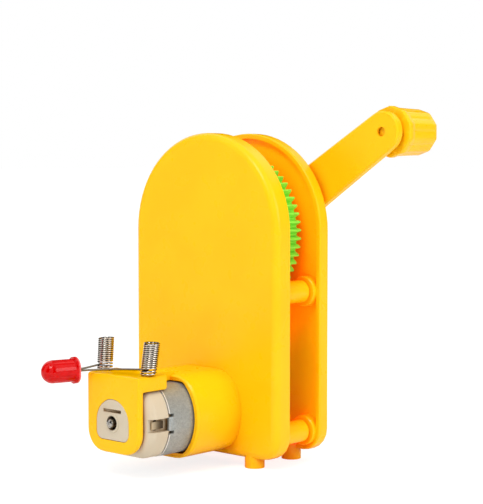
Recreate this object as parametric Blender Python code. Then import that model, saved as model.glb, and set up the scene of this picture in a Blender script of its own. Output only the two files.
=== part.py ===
"""Hand crank generator, built from its separate pieces.

A crank turns a gear train between two moulded plates, the train spins a small motor that works as a
generator, and two spring clips on the motor's bracket hold the legs of a light-emitting diode.
X runs across the plates, Y runs back along the shafts, and Z runs up from the feet.
"""

from math import acos, asin, cos, floor, pi, radians, sin, sqrt, tan

import bmesh
import bpy
from mathutils import Matrix, Vector

MM = 0.001

# Fits: what a still seat, a running shaft and a cutter that passes right through are given
SEAT_GAP = 0.3 * MM
RUNNING_GAP = 0.25 * MM
OVERRUN = 0.4 * MM
SMALL_EDGE = 0.4 * MM

# Plates
PLATE_WIDTH = 43.4 * MM
PLATE_TOP_Z = 73.2 * MM
PLATE_CORNER_RADIUS = 5.0 * MM
FRONT_RIM_WALL = 1.6 * MM
REAR_RIM_WALL = 1.1 * MM
FRONT_DEPTH = 4.7 * MM
FRONT_FLOOR = 1.8 * MM
FRONT_FILLET = 1.6 * MM
PLATE_FILLET_STEPS = 5
REAR_DEPTH = 3.0 * MM
REAR_FLOOR = 1.7 * MM
REAR_FILLET = 0.5 * MM
PLATE_SPACING = 9.9 * MM
FRONT_BASE_Z = 2.1 * MM
REAR_BASE_Z = 2.5 * MM
FOOT_RADIUS = 2.2 * MM
FRONT_FOOT_X = 13.4 * MM
REAR_FOOT_X = 12.9 * MM

# Gear train, from the motor up to the crank
GEAR_MODULE = 0.58 * MM
MOTOR_PINION_TEETH = 10
COMPOUND_WHEEL_TEETH = 53
COMPOUND_PINION_TEETH = 12
CRANK_GEAR_TEETH = 59
CRANK_GEAR_PHASE = radians(1)
TOOTH_BACKLASH = 0.22 * MM
TOOTH_TIP_SHARE = 0.95
TOOTH_ROOT_SHARE = 1.25
TOOTH_UNDERCUT_SHARE = 0.8
FEW_TEETH = 20
COMPOUND_WHEEL_FACE = 2.6 * MM
MOTOR_PINION_FACE = 4.2 * MM
CRANK_GEAR_FACE = 4.4 * MM
WHEEL_LIFT = 2.1 * MM
GEAR_SPACING = 2.0 * MM
GEAR_WEB_SINK = 0.9 * MM
GEAR_RIM_DEPTH = 2.2 * MM
CRANK_GEAR_HUB_RADIUS = 4.4 * MM
COMPOUND_HUB_RADIUS = 3.4 * MM
GEAR_HUB_STEP = 0.5 * MM

# Shafts and their bosses
CRANK_SHAFT_RADIUS = 2.0 * MM
COMPOUND_AXLE_RADIUS = 1.0 * MM
BOSS_WALL = 1.7 * MM
BLIND_SKIN = 0.8 * MM
END_PLAY = 0.4 * MM

# Posts that carry the rear plate
POST_X = 17.4 * MM
POST_UPPER_Z = 38.2 * MM
POST_LOWER_Z = 7.1 * MM
POST_RADIUS = 2.5 * MM
POST_LENGTH = 8.8 * MM
SPIGOT_RADIUS = 1.3 * MM
SPIGOT_LENGTH = 3.0 * MM
COLLAR_WALL = 0.85 * MM
COLLAR_SHORTFALL = 0.2 * MM

# Motor, a size 130 can with two flats
MOTOR_AXIS_Z = 12.1 * MM
CAN_RADIUS = 10.05 * MM
CAN_FLAT_SHARE = 0.75124
CAN_HALF_FLAT = CAN_RADIUS * CAN_FLAT_SHARE
CAN_LENGTH = 19.4 * MM
CAN_WALL = 0.8 * MM
CAN_SINK = 2.8 * MM
CAN_CORNER = 1.8 * MM
MOUTH_CORNER = 0.7 * MM
CAN_BOSS_RADIUS = 3.08 * MM
CAN_BOSS_LENGTH = 1.7 * MM
CAN_RELIEF_HALF_HEIGHT = 2.1 * MM
CAN_TONGUE_HALF_HEIGHT = 1.45 * MM
CAN_RELIEF_DEPTH = 1.2 * MM
CAN_TONGUE_SINK = 0.35 * MM
CAP_INSET = 0.15 * MM
CAP_LENGTH = 5.05 * MM
CAP_EDGE = 0.5 * MM
CAP_WALL = 1.4 * MM
CAP_SPIGOT_LENGTH = 1.7 * MM
CAP_SPIGOT_WALL = 1.1 * MM
CAP_SLOT_HALF_HEIGHT = 1.4 * MM
CAP_SLOT_DEPTH = 1.5 * MM
CAP_VENT_WIDTH = 5.4 * MM
CAP_VENT_HEIGHT = 0.75 * MM
CAP_VENT_DEPTH = 1.2 * MM
CAP_VENT_RISE = 2.55 * MM
CAP_NOSE_RADIUS = 2.05 * MM
CAP_NOSE_LENGTH = 0.6 * MM
CAP_NOSE_BORE = 1.55 * MM
MOTOR_SHAFT_RADIUS = 1.0 * MM
MOTOR_SHAFT_FRONT = 1.2 * MM
MOTOR_SHAFT_DOME = 0.5 * MM
BUSH_WALL = 0.75 * MM
BUSH_LENGTH = 2.4 * MM

# Inside the motor
MAGNET_THICKNESS = 2.1 * MM
MAGNET_LENGTH = 12.0 * MM
MAGNET_ARC_SHARE = 0.86
ROTOR_AIR_GAP = 0.95 * MM
CORE_RADIUS = CAN_RADIUS - CAN_WALL - SEAT_GAP - MAGNET_THICKNESS - ROTOR_AIR_GAP
CORE_LENGTH = 9.0 * MM
CORE_HUB_SHARE = 0.424
CORE_NECK_SHARE = 0.305
CORE_SHOE_SHARE = 0.203
CORE_ARC_SHARE = 0.84
CORE_HUB_RADIUS = CORE_RADIUS * CORE_HUB_SHARE
CORE_NECK_WIDTH = CORE_RADIUS * CORE_NECK_SHARE
CORE_SHOE = CORE_RADIUS * CORE_SHOE_SHARE
WINDING_SHARE = 0.152
WINDING_TOP_SHARE = 0.9
WINDING_BUILD = CORE_RADIUS * WINDING_SHARE
COMMUTATOR_RADIUS = 2.3 * MM
COMMUTATOR_LENGTH = 3.2 * MM
BRUSH_STRIP = 0.25 * MM
BRUSH_HALF_HEIGHT = 0.8 * MM
BRUSH_TERMINAL_FRONT = 1.1 * MM
BRUSH_TERMINAL_BACK = 1.9 * MM
BRUSH_TAB_SHARE = 0.9
BRUSH_REACH = 3.6 * MM

# Motor housing and bracket, moulded with the front plate
HOUSING_LENGTH = 13.4 * MM
HOUSING_WALL = 1.2 * MM
HOUSING_CLEARANCE = 0.3 * MM
HOUSING_CORNER = 3.2 * MM
BRACKET_SETBACK = 2.15 * MM
BRACKET_RISE = 0.15 * MM
BRACKET_HALF_WIDTH = CAN_RADIUS - BRACKET_SETBACK
BRACKET_TOP_Z = MOTOR_AXIS_Z + CAN_RADIUS + BRACKET_RISE
BRACKET_SIDE_HEIGHT = 3.3 * MM
BRACKET_LENGTH = 8.6 * MM
BRACKET_BASE_Z = 5.6 * MM
BRACKET_CORNER_RADIUS = 4.8 * MM
BRACKET_EDGE = 0.6 * MM
END_PLATE_THICKNESS = 1.65 * MM
END_PLATE_GAP = 0.3 * MM
WEB_HALF_WIDTH = 3.1 * MM
WINDOW_HALF_WIDTH = 4.95 * MM
WINDOW_HEIGHT = 8.8 * MM
WINDOW_DROP = 3.75 * MM
WINDOW_CORNER_RADIUS = 1.7 * MM

# Spring clips
SPRING_EDGE = 1.2 * MM
SPRING_X = BRACKET_HALF_WIDTH - SPRING_EDGE
SPRING_INSET = 4.1 * MM
SPRING_COIL_RADIUS = 1.55 * MM
SPRING_WIRE_RADIUS = 0.2 * MM
SPRING_PITCH = 0.84 * MM
SPRING_CLIP_PITCH = 1.26 * MM
SPRING_HEIGHT = 7.1 * MM
SPRING_SEAT_GAP = 0.15 * MM
SPRING_LEFT_LEAN = 0.5 * MM
SPRING_RIGHT_LEAN = 1.15 * MM
SPRING_TAIL_LENGTH = 5.4 * MM
TAIL_HOLE_RADIUS = 0.6 * MM
CURL_POINTS = 10

# Light-emitting diode
LED_SIDE_REACH = 1.55 * MM
LED_FRONT_REACH = 2.65 * MM
LED_RISE = 0.5 * MM
LED_BACK_X = -SPRING_X - LED_SIDE_REACH
LED_AXIS_Z = BRACKET_TOP_Z + LED_RISE
LED_TURN = radians(17.5)
LED_RADIUS = 2.45 * MM
LED_LENGTH = 7.9 * MM
LED_FLANGE_RADIUS = 2.85 * MM
LED_FLANGE_THICKNESS = 0.9 * MM
LED_FLANGE_FLAT = 0.35 * MM
LEG_SPACING = 2.54 * MM
LEG_RADIUS = 0.2 * MM
LEG_STRAIGHT = 1.4 * MM
LEG_SOFT_SHARE = 0.12
LEG_RISE_SHARE = 0.2
LEG_ENTRY_SHARE = 0.5

# Crank and knob
CRANK_TURN = radians(32.66)
CRANK_LENGTH = 41.44 * MM
CRANK_THICKNESS = 2.0 * MM
CRANK_HUB_HALF_WIDTH = 5.6 * MM
CRANK_TIP_RADIUS = 4.45 * MM
CRANK_STANDOFF = 1.4 * MM
CRANK_EDGE = 0.35 * MM
CRANK_BOSS_RADIUS = 4.2 * MM
TIP_HOLE_RADIUS = 1.05 * MM
KNOB_PIN_RADIUS = 1.4 * MM
KNOB_PIN_HEAD_RADIUS = 2.6 * MM
KNOB_PIN_HEAD_THICKNESS = 1.2 * MM
KNOB_PIN_GRIP = 1.1 * MM
KNOB_GAP = 0.9 * MM
KNOB_LENGTH = 11.5 * MM
KNOB_FACETS = 10
KNOB_APOTHEM = 5.4 * MM
KNOB_CORNER_RADIUS = 5.6 * MM
KNOB_EDGE = 0.45 * MM
KNOB_COLLAR_LENGTH = 1.9 * MM
KNOB_COLLAR_STEP = 0.3 * MM
KNOB_OUTER_CHAMFER = 0.7 * MM
KNOB_TAPER = 0.2 * MM
KNOB_RECESS_DEPTH = 2.0 * MM
SCREW_RADIUS = 0.85 * MM
SCREW_LENGTH = 6.0 * MM
SCREW_HEAD_RADIUS = 2.3 * MM
SCREW_HEAD_THICKNESS = 1.4 * MM
SCREW_SLOT_WIDTH = 0.5 * MM

# Places along Z that follow from the gears
COMPOUND_AXIS_Z = MOTOR_AXIS_Z + GEAR_MODULE * (MOTOR_PINION_TEETH + COMPOUND_WHEEL_TEETH) / 2
CRANK_AXIS_Z = COMPOUND_AXIS_Z + GEAR_MODULE * (COMPOUND_PINION_TEETH + CRANK_GEAR_TEETH) / 2

# Places along Y that follow from the depths, with zero at the front plate's face
REAR_RIM_Y = FRONT_DEPTH + PLATE_SPACING
REAR_BACK_Y = REAR_RIM_Y + REAR_DEPTH
REAR_FLOOR_Y = REAR_BACK_Y - REAR_FLOOR
POST_END_Y = FRONT_DEPTH + POST_LENGTH
COLLAR_Y = POST_END_Y + COLLAR_SHORTFALL
WHEEL_Y = FRONT_FLOOR + WHEEL_LIFT
WHEEL_END_Y = WHEEL_Y + COMPOUND_WHEEL_FACE
CRANK_GEAR_Y = WHEEL_END_Y + GEAR_SPACING
CRANK_GEAR_END_Y = CRANK_GEAR_Y + CRANK_GEAR_FACE
GEAR_HUB_Y = WHEEL_Y - END_PLAY
GEAR_HUB_END_Y = CRANK_GEAR_END_Y + GEAR_HUB_STEP
CAN_FACE_Y = FRONT_FLOOR - CAN_SINK
SEAM_Y = CAN_FACE_Y - CAN_LENGTH
CAP_Y = SEAM_Y - CAP_INSET
CAP_END_Y = CAP_Y - CAP_LENGTH
BRACKET_BACK_Y = CAP_END_Y - END_PLATE_GAP
BRACKET_Y = BRACKET_BACK_Y - END_PLATE_THICKNESS
SPRING_Y = BRACKET_Y + SPRING_INSET
LED_BACK_Y = BRACKET_Y - LED_FRONT_REACH
ARM_Y = REAR_BACK_Y + CRANK_STANDOFF
ARM_BACK_Y = ARM_Y + CRANK_THICKNESS
KNOB_Y = ARM_BACK_Y + KNOB_GAP
KNOB_END_Y = KNOB_Y + KNOB_LENGTH
PINION_Y = WHEEL_Y - (MOTOR_PINION_FACE - COMPOUND_WHEEL_FACE) / 2


# Outlines, lists of points (x, z) that run anticlockwise

def arc(centre_x, centre_z, radius, start, end, steps):
    """Points on a circle from the start angle to the end angle, both ends included."""
    angles = [start + (end - start) * i / steps for i in range(steps + 1)]
    return [(centre_x + radius * cos(a), centre_z + radius * sin(a)) for a in angles]


def circle(radius, steps, centre_x=0, centre_z=0):
    return arc(centre_x, centre_z, radius, 0, 2 * pi, steps)[:-1]


def plate_outline(base_z, inset=0):
    """The arched plate: a half circle on straight sides with two rounded corners at the foot."""
    half = PLATE_WIDTH / 2 - inset
    corner = max(PLATE_CORNER_RADIUS - inset, SMALL_EDGE)
    corner_z = base_z + inset + corner
    right = arc(half - corner, corner_z, corner, -pi / 2, 0, 5)
    top = arc(0, PLATE_TOP_Z - PLATE_WIDTH / 2, half, 0, pi, 36)
    left = arc(corner - half, corner_z, corner, pi, 3 * pi / 2, 5)
    return right + top + left


def blend(start, corner, end, steps):
    """Points on a parabola that rounds a corner, both ends included."""
    points = []
    for i in range(steps + 1):
        t = i / steps
        weights = ((1 - t) ** 2, 2 * t * (1 - t), t ** 2)
        controls = (start, corner, end)
        points.append(tuple(sum(w * p[axis] for w, p in zip(weights, controls)) for axis in (0, 1)))
    return points


def motor_outline(radius, half_flat, corner):
    """A circle with a flat above and below, and softened corners where they meet."""
    reach = asin(half_flat / radius)
    soft = reach - corner / radius
    edge_x = radius * cos(reach)
    side = arc(0, 0, radius, -soft, soft, 12)
    top = blend(side[-1], (edge_x, half_flat), (edge_x - corner, half_flat), 4)[1:]
    quarter = side[1:-1] + [side[-1]] + top
    mirrored = [(-x, z) for x, z in reversed(quarter)]
    bottom = [(x, -z) for x, z in reversed(top)]
    bottom_left = [(-x, -z) for x, z in top]
    return bottom + [side[0]] + quarter + mirrored[:-1] + [(-side[0][0], side[0][1])] + bottom_left


def window_outline(inset=0):
    """The window of the end plate: a round top on straight sides, flat at the foot."""
    half = WINDOW_HALF_WIDTH - inset
    corner = WINDOW_CORNER_RADIUS - inset / 2
    base = inset - WINDOW_DROP
    top_z = base - inset + WINDOW_HEIGHT - WINDOW_HALF_WIDTH
    right = arc(half - corner, base + corner, corner, -pi / 2, 0, 4)
    top = arc(0, top_z, half, 0, pi, 18)
    left = arc(corner - half, base + corner, corner, pi, 3 * pi / 2, 4)
    return right + top + left


def gear_outline(teeth, tooth_angle):
    """Involute teeth of the train's module, one of them centred on tooth_angle."""
    pressure = radians(20)
    pitch_radius = GEAR_MODULE * teeth / 2
    base_radius = pitch_radius * cos(pressure)
    root_radius = pitch_radius - GEAR_MODULE * TOOTH_ROOT_SHARE
    tip_radius = pitch_radius + GEAR_MODULE * TOOTH_TIP_SHARE
    pitch_half = (pi * GEAR_MODULE / 2 - TOOTH_BACKLASH / 2) / (2 * pitch_radius)

    def half_angle(radius):
        roll = acos(min(1, base_radius / radius))
        return pitch_half + tan(pressure) - pressure - (tan(roll) - roll)

    steps = 4 if teeth < FEW_TEETH else 3
    start_radius = max(base_radius, root_radius)
    flank = []
    if base_radius > root_radius:
        undercut_share = TOOTH_UNDERCUT_SHARE if teeth < FEW_TEETH else 1
        flank.append((root_radius, half_angle(start_radius) * undercut_share))
    for i in range(steps):
        radius = start_radius + (tip_radius - start_radius) * i / (steps - 1)
        flank.append((radius, half_angle(radius)))
    points = []
    for tooth in range(teeth):
        middle = tooth_angle + 2 * pi * tooth / teeth
        for radius, half in flank:
            points.append((radius * cos(middle - half), radius * sin(middle - half)))
        for radius, half in reversed(flank):
            points.append((radius * cos(middle + half), radius * sin(middle + half)))
    return points


def knob_outline(inset):
    """A ring of flats whose corners are turned down to a circle."""
    flat = 2 * pi / KNOB_FACETS
    points = []
    for i in range(KNOB_FACETS * 4):
        angle = flat * i / 4
        off_middle = (angle + flat / 2) % flat - flat / 2
        radius = min((KNOB_APOTHEM - inset) / cos(off_middle), KNOB_CORNER_RADIUS - inset)
        points.append((radius * cos(angle), radius * sin(angle)))
    return points


# Solids

def at(outline, y):
    """An outline stood up at one depth."""
    return [(x, y, z) for x, z in outline]


def loft(rings):
    """A closed solid through rings of equal count, with flat ends."""
    solid = bmesh.new()
    loops = [[solid.verts.new(point) for point in ring] for ring in rings]
    for first, second in zip(loops, loops[1:]):
        for i in range(len(first)):
            following = (i + 1) % len(first)
            solid.faces.new((first[i], first[following], second[following], second[i]))
    solid.faces.new(loops[0])
    solid.faces.new(tuple(reversed(loops[-1])))
    bmesh.ops.recalc_face_normals(solid, faces=solid.faces)
    return solid


def prism(outline, start_y, end_y):
    return loft([at(outline, start_y), at(outline, end_y)])


def turned(profile, steps=24):
    """A solid turned about the Y axis from pairs of (radius, y), flat at both ends."""
    return loft([at(circle(radius, steps), y) for radius, y in profile])


def rod(radius, start_y, end_y, steps=24):
    """A plain round length on the Y axis."""
    return turned([(radius, start_y), (radius, end_y)], steps)


def block(low, high):
    """A box between two corners."""
    (x0, y0, z0), (x1, y1, z1) = low, high
    return prism([(x0, z0), (x1, z0), (x1, z1), (x0, z1)], y0, y1)


def shift(solid, offset):
    bmesh.ops.translate(solid, verts=solid.verts, vec=Vector(offset))
    return solid


def turn(solid, angle, axis):
    bmesh.ops.rotate(solid, verts=solid.verts, matrix=Matrix.Rotation(angle, 3, axis))
    return solid


# Materials, colours and scene objects

def material(name, colour, roughness, metallic=0.0):
    made = bpy.data.materials.new(name)
    made.use_nodes = True
    shader = made.node_tree.nodes["Principled BSDF"]
    shader.inputs["Base Color"].default_value = (*colour, 1)
    shader.inputs["Roughness"].default_value = roughness
    shader.inputs["Metallic"].default_value = metallic
    made.diffuse_color = (*colour, 1)
    return made


def axis_empty(name, place, parent=None):
    empty = bpy.data.objects.new(name, None)
    bpy.context.scene.collection.objects.link(empty)
    empty.location = place
    empty.parent = parent
    return empty


def add_object(name, solid, parent, finish=None):
    mesh = bpy.data.meshes.new(name)
    solid.to_mesh(mesh)
    solid.free()
    mesh.shade_smooth()
    mesh.set_sharp_from_angle(angle=radians(35))
    if finish:
        mesh.materials.append(finish)
    piece = bpy.data.objects.new(name, mesh)
    bpy.context.scene.collection.objects.link(piece)
    piece.parent = parent
    return piece


def combine(piece, solid, operation):
    """Add a solid to a piece, or cut it away, by a Boolean whose operand stays as a wire guide."""
    guide = add_object(f"{piece.name}_guide", solid, piece.parent)
    guide.hide_render = True
    guide.display_type = "WIRE"
    step = piece.modifiers.new(operation.lower(), "BOOLEAN")
    step.operation = operation
    step.object = guide
    return guide


def join(piece, solid):
    return combine(piece, solid, "UNION")


def cut(piece, solid):
    return combine(piece, solid, "DIFFERENCE")


def soften(piece, width, segments=2, angle=50):
    step = piece.modifiers.new("soft edges", "BEVEL")
    step.width = width
    step.segments = segments
    step.limit_method = "ANGLE"
    step.angle_limit = radians(angle)


def wire(name, points, radius, parent, finish):
    """One unbroken round wire through the given points."""
    curve = bpy.data.curves.new(name, "CURVE")
    curve.dimensions = "3D"
    curve.resolution_u = 1
    curve.render_resolution_u = 0
    curve.bevel_depth = radius
    curve.bevel_resolution = 1
    curve.use_fill_caps = True
    spline = curve.splines.new("POLY")
    spline.points.add(len(points) - 1)
    for slot, point in zip(spline.points, points):
        slot.co = (*point, 1)
    curve.materials.append(finish)
    piece = bpy.data.objects.new(name, curve)
    bpy.context.scene.collection.objects.link(piece)
    piece.parent = parent
    return piece


# Plates

def plate(base_z, depth, front_edge, back_edge):
    """An arched plate from y = 0 to its depth, with rounded front and back edges."""
    rings = []
    for i in range(PLATE_FILLET_STEPS + 1):
        angle = i / PLATE_FILLET_STEPS * pi / 2
        rings.append(at(plate_outline(base_z, front_edge * (1 - sin(angle))), front_edge * (1 - cos(angle))))
    for i in range(3):
        angle = i / 2 * pi / 2
        inset = back_edge * (1 - cos(angle))
        rings.append(at(plate_outline(base_z, inset), depth - back_edge * (1 - sin(angle))))
    return loft(rings)


def foot(x, y, base_z):
    """A round peg under a plate, standing on the floor."""
    height = base_z + REAR_RIM_WALL - SMALL_EDGE / 4
    peg = turn(rod(FOOT_RADIUS, 0, height, 20), pi / 2, "X")
    return shift(peg, (x, y, 0))


def boss(radius, start_y, end_y, z):
    return shift(rod(radius, start_y, end_y), (0, 0, z))


def post_places():
    return [(side * POST_X, z) for side in (-1, 1) for z in (POST_LOWER_Z, POST_UPPER_Z)]


def post():
    """A round post with a shoulder, and the thin spigot that enters the rear plate's collar."""
    return turned([
        (POST_RADIUS, FRONT_FLOOR - OVERRUN),
        (POST_RADIUS, POST_END_Y - SMALL_EDGE),
        (POST_RADIUS - SMALL_EDGE, POST_END_Y),
        (SPIGOT_RADIUS, POST_END_Y),
        (SPIGOT_RADIUS, POST_END_Y + SPIGOT_LENGTH),
    ])


def motor_housing():
    """The moulded sleeve round the motor, soft at its mouth and plain where it meets the plate."""
    radius = CAN_RADIUS + HOUSING_CLEARANCE + HOUSING_WALL
    half_flat = CAN_HALF_FLAT + HOUSING_CLEARANCE + HOUSING_WALL
    steps = [(-SMALL_EDGE, -HOUSING_LENGTH), (0, SMALL_EDGE - HOUSING_LENGTH), (0, FRONT_FLOOR - OVERRUN)]
    rings = []
    for spread, y in steps:
        outline = motor_outline(radius + spread, half_flat + spread, HOUSING_CORNER + spread)
        rings.append([(x, y, max(z, -half_flat - min(spread, 0)) + MOTOR_AXIS_Z) for x, z in outline])
    return loft(rings)


def bracket():
    """The arm over the motor and the end plate in front of it, an angle with two round corners."""
    arm_base = BRACKET_TOP_Z - BRACKET_SIDE_HEIGHT
    side_view = [
        (BRACKET_Y, BRACKET_BASE_Z),
        (BRACKET_BACK_Y, BRACKET_BASE_Z),
        (BRACKET_BACK_Y, arm_base),
        (BRACKET_Y + BRACKET_LENGTH, arm_base),
        (BRACKET_Y + BRACKET_LENGTH, BRACKET_TOP_Z),
        (BRACKET_Y, BRACKET_TOP_Z),
    ]
    solid = loft([[(x, y, z) for y, z in side_view] for x in (-BRACKET_HALF_WIDTH, BRACKET_HALF_WIDTH)])
    corners = [
        edge for edge in solid.edges
        if all(v.co.z < BRACKET_BASE_Z + SMALL_EDGE for v in edge.verts)
        and abs(edge.verts[0].co.x - edge.verts[1].co.x) < SMALL_EDGE
    ]
    bmesh.ops.bevel(solid, geom=corners, offset=BRACKET_CORNER_RADIUS, segments=8, profile=0.5, affect="EDGES")
    return solid


def front_shell(parent, finish):
    """The front plate with its rim, posts, bosses, motor housing, bracket and two feet, in one moulding."""
    solid = plate(FRONT_BASE_Z, FRONT_DEPTH, FRONT_FILLET, SMALL_EDGE)
    shell = add_object("front_shell", solid, parent, finish)
    cut(shell, prism(plate_outline(FRONT_BASE_Z, FRONT_RIM_WALL), FRONT_FLOOR, FRONT_DEPTH + OVERRUN))
    join(shell, motor_housing())
    soften(join(shell, bracket()), BRACKET_EDGE)
    web_start = BRACKET_Y + BRACKET_LENGTH - OVERRUN
    web_end = HOUSING_WALL - HOUSING_LENGTH
    web_base = BRACKET_TOP_Z - BRACKET_SIDE_HEIGHT
    web_top = BRACKET_TOP_Z - OVERRUN
    join(shell, block((-WEB_HALF_WIDTH, web_start, web_base), (WEB_HALF_WIDTH, web_end, web_top)))
    for x, z in post_places():
        join(shell, shift(post(), (x, 0, z)))
    for side in (-1, 1):
        join(shell, foot(side * FRONT_FOOT_X, FRONT_DEPTH / 2, FRONT_BASE_Z))
    crank_bore = CRANK_SHAFT_RADIUS + RUNNING_GAP
    axle_bore = COMPOUND_AXLE_RADIUS + SEAT_GAP
    join(shell, boss(crank_bore + BOSS_WALL, FRONT_FLOOR - OVERRUN, GEAR_HUB_Y + GEAR_SPACING, CRANK_AXIS_Z))
    join(shell, boss(axle_bore + BOSS_WALL, FRONT_FLOOR - OVERRUN, GEAR_HUB_Y - END_PLAY, COMPOUND_AXIS_Z))
    cut(shell, boss(crank_bore, BLIND_SKIN, GEAR_HUB_Y + GEAR_SPACING + OVERRUN, CRANK_AXIS_Z))
    cut(shell, boss(axle_bore, BLIND_SKIN, GEAR_HUB_Y, COMPOUND_AXIS_Z))
    bore = motor_outline(CAN_RADIUS + HOUSING_CLEARANCE, CAN_HALF_FLAT + HOUSING_CLEARANCE, MOUTH_CORNER)
    cut(shell, shift(prism(bore, BRACKET_BACK_Y, FRONT_FLOOR + OVERRUN), (0, 0, MOTOR_AXIS_Z)))
    window = prism(window_outline(), BRACKET_Y - OVERRUN, BRACKET_BACK_Y + OVERRUN)
    cut(shell, shift(window, (0, 0, MOTOR_AXIS_Z)))
    for side in (-1, 1):
        hole = turn(rod(TAIL_HOLE_RADIUS, 0, BRACKET_SIDE_HEIGHT + OVERRUN, 12), pi / 2, "X")
        place = (side * (SPRING_X - SPRING_COIL_RADIUS), SPRING_Y, BRACKET_TOP_Z - BRACKET_SIDE_HEIGHT)
        cut(shell, shift(hole, place))
    return shell


def rear_shell(parent, finish):
    """The rear plate: a shallow tray with collars for the posts, two bearing bosses and two feet."""
    solid = shift(plate(REAR_BASE_Z, REAR_DEPTH, SMALL_EDGE, REAR_FILLET), (0, REAR_RIM_Y, 0))
    shell = add_object("rear_shell", solid, parent, finish)
    cut(shell, prism(plate_outline(REAR_BASE_Z, REAR_RIM_WALL), REAR_RIM_Y - OVERRUN, REAR_FLOOR_Y))
    inner = REAR_FLOOR_Y + OVERRUN
    collar_radius = POST_RADIUS + COLLAR_WALL
    for x, z in post_places():
        collar = turned([(collar_radius - SMALL_EDGE / 2, COLLAR_Y), (collar_radius, COLLAR_Y + SMALL_EDGE / 2),
                         (collar_radius, inner)])
        join(shell, shift(collar, (x, 0, z)))
    for side in (-1, 1):
        join(shell, foot(side * REAR_FOOT_X, REAR_BACK_Y - FOOT_RADIUS - SMALL_EDGE / 4, REAR_BASE_Z))
    crank_bore = CRANK_SHAFT_RADIUS + RUNNING_GAP
    axle_bore = COMPOUND_AXLE_RADIUS + SEAT_GAP
    join(shell, boss(crank_bore + BOSS_WALL, GEAR_HUB_END_Y + END_PLAY, inner, CRANK_AXIS_Z))
    join(shell, boss(axle_bore + BOSS_WALL, GEAR_HUB_END_Y + END_PLAY, inner, COMPOUND_AXIS_Z))
    for x, z in post_places():
        hole = rod(SPIGOT_RADIUS + SEAT_GAP, COLLAR_Y - OVERRUN, REAR_BACK_Y - BLIND_SKIN)
        cut(shell, shift(hole, (x, 0, z)))
    cut(shell, boss(crank_bore, GEAR_HUB_END_Y, REAR_BACK_Y + OVERRUN, CRANK_AXIS_Z))
    cut(shell, boss(axle_bore, GEAR_HUB_END_Y, REAR_BACK_Y - BLIND_SKIN, COMPOUND_AXIS_Z))
    return shell


# Gears and shafts

def web_groove(inner_radius, outer_radius, y, depth):
    """A ring-shaped cutter that thins a gear's web between its hub and its rim."""
    ring = bmesh.new()
    loops = []
    end_y = y + depth
    for radius, edge_y in ((inner_radius, y), (outer_radius, y), (outer_radius, end_y), (inner_radius, end_y)):
        loops.append([ring.verts.new(point) for point in at(circle(radius, 36), edge_y)])
    for i in range(4):
        first, second = loops[i], loops[(i + 1) % 4]
        for j in range(36):
            following = (j + 1) % 36
            ring.faces.new((first[j], first[following], second[following], second[j]))
    bmesh.ops.recalc_face_normals(ring, faces=ring.faces)
    return ring


def crank_gear(parent, finish):
    """The large gear on the crank shaft, with a thinned web on both faces."""
    teeth = gear_outline(CRANK_GEAR_TEETH, CRANK_GEAR_PHASE - pi / 2)
    gear = add_object("crank_gear", prism(teeth, CRANK_GEAR_Y, CRANK_GEAR_END_Y), parent, finish)
    root = GEAR_MODULE * (CRANK_GEAR_TEETH / 2 - TOOTH_ROOT_SHARE)
    rim = root - GEAR_RIM_DEPTH
    for groove_y in (CRANK_GEAR_Y - OVERRUN, CRANK_GEAR_END_Y - GEAR_WEB_SINK):
        cut(gear, web_groove(CRANK_GEAR_HUB_RADIUS, rim, groove_y, GEAR_WEB_SINK + OVERRUN))
    hub_start = GEAR_HUB_Y + GEAR_SPACING + END_PLAY
    join(gear, rod(CRANK_GEAR_HUB_RADIUS - OVERRUN, hub_start, GEAR_HUB_END_Y))
    bore = CRANK_SHAFT_RADIUS + SEAT_GAP
    cut(gear, rod(bore, hub_start - OVERRUN, GEAR_HUB_END_Y + OVERRUN))
    return gear


def compound_gear(parent, finish):
    """The idler: the crank gear turns its pinion, and its wheel turns the motor's, in one moulding."""
    wheel = prism(gear_outline(COMPOUND_WHEEL_TEETH, -pi / 2), WHEEL_Y, WHEEL_END_Y)
    gear = add_object("compound_gear", wheel, parent, finish)
    root = GEAR_MODULE * (COMPOUND_WHEEL_TEETH / 2 - TOOTH_ROOT_SHARE)
    cut(gear, web_groove(COMPOUND_HUB_RADIUS + SMALL_EDGE, root - GEAR_RIM_DEPTH, WHEEL_Y - OVERRUN,
                         GEAR_WEB_SINK + OVERRUN))
    follow = CRANK_GEAR_PHASE * CRANK_GEAR_TEETH / COMPOUND_PINION_TEETH
    pinion_angle = pi / 2 + pi / COMPOUND_PINION_TEETH - follow
    join(gear, prism(gear_outline(COMPOUND_PINION_TEETH, pinion_angle), WHEEL_END_Y - OVERRUN, GEAR_HUB_END_Y))
    bore = COMPOUND_AXLE_RADIUS + RUNNING_GAP
    cut(gear, rod(bore, WHEEL_Y - OVERRUN, GEAR_HUB_END_Y + OVERRUN, 16))
    return gear


def compound_axle(parent, finish):
    """The fixed steel pin that the compound gear runs on."""
    start = BLIND_SKIN + SEAT_GAP
    end = REAR_BACK_Y - BLIND_SKIN - SEAT_GAP
    return add_object("compound_axle", rod(COMPOUND_AXLE_RADIUS, start, end, 16),
                      parent, finish)


def motor_pinion(parent, finish):
    """The small pinion pressed on the motor shaft."""
    angle = pi / 2 + pi / MOTOR_PINION_TEETH
    pinion = add_object("motor_pinion",
                        prism(gear_outline(MOTOR_PINION_TEETH, angle), PINION_Y, PINION_Y + MOTOR_PINION_FACE),
                        parent, finish)
    bore = MOTOR_SHAFT_RADIUS + SEAT_GAP
    cut(pinion, rod(bore, PINION_Y - OVERRUN, PINION_Y + MOTOR_PINION_FACE + OVERRUN, 16))
    return pinion


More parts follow.
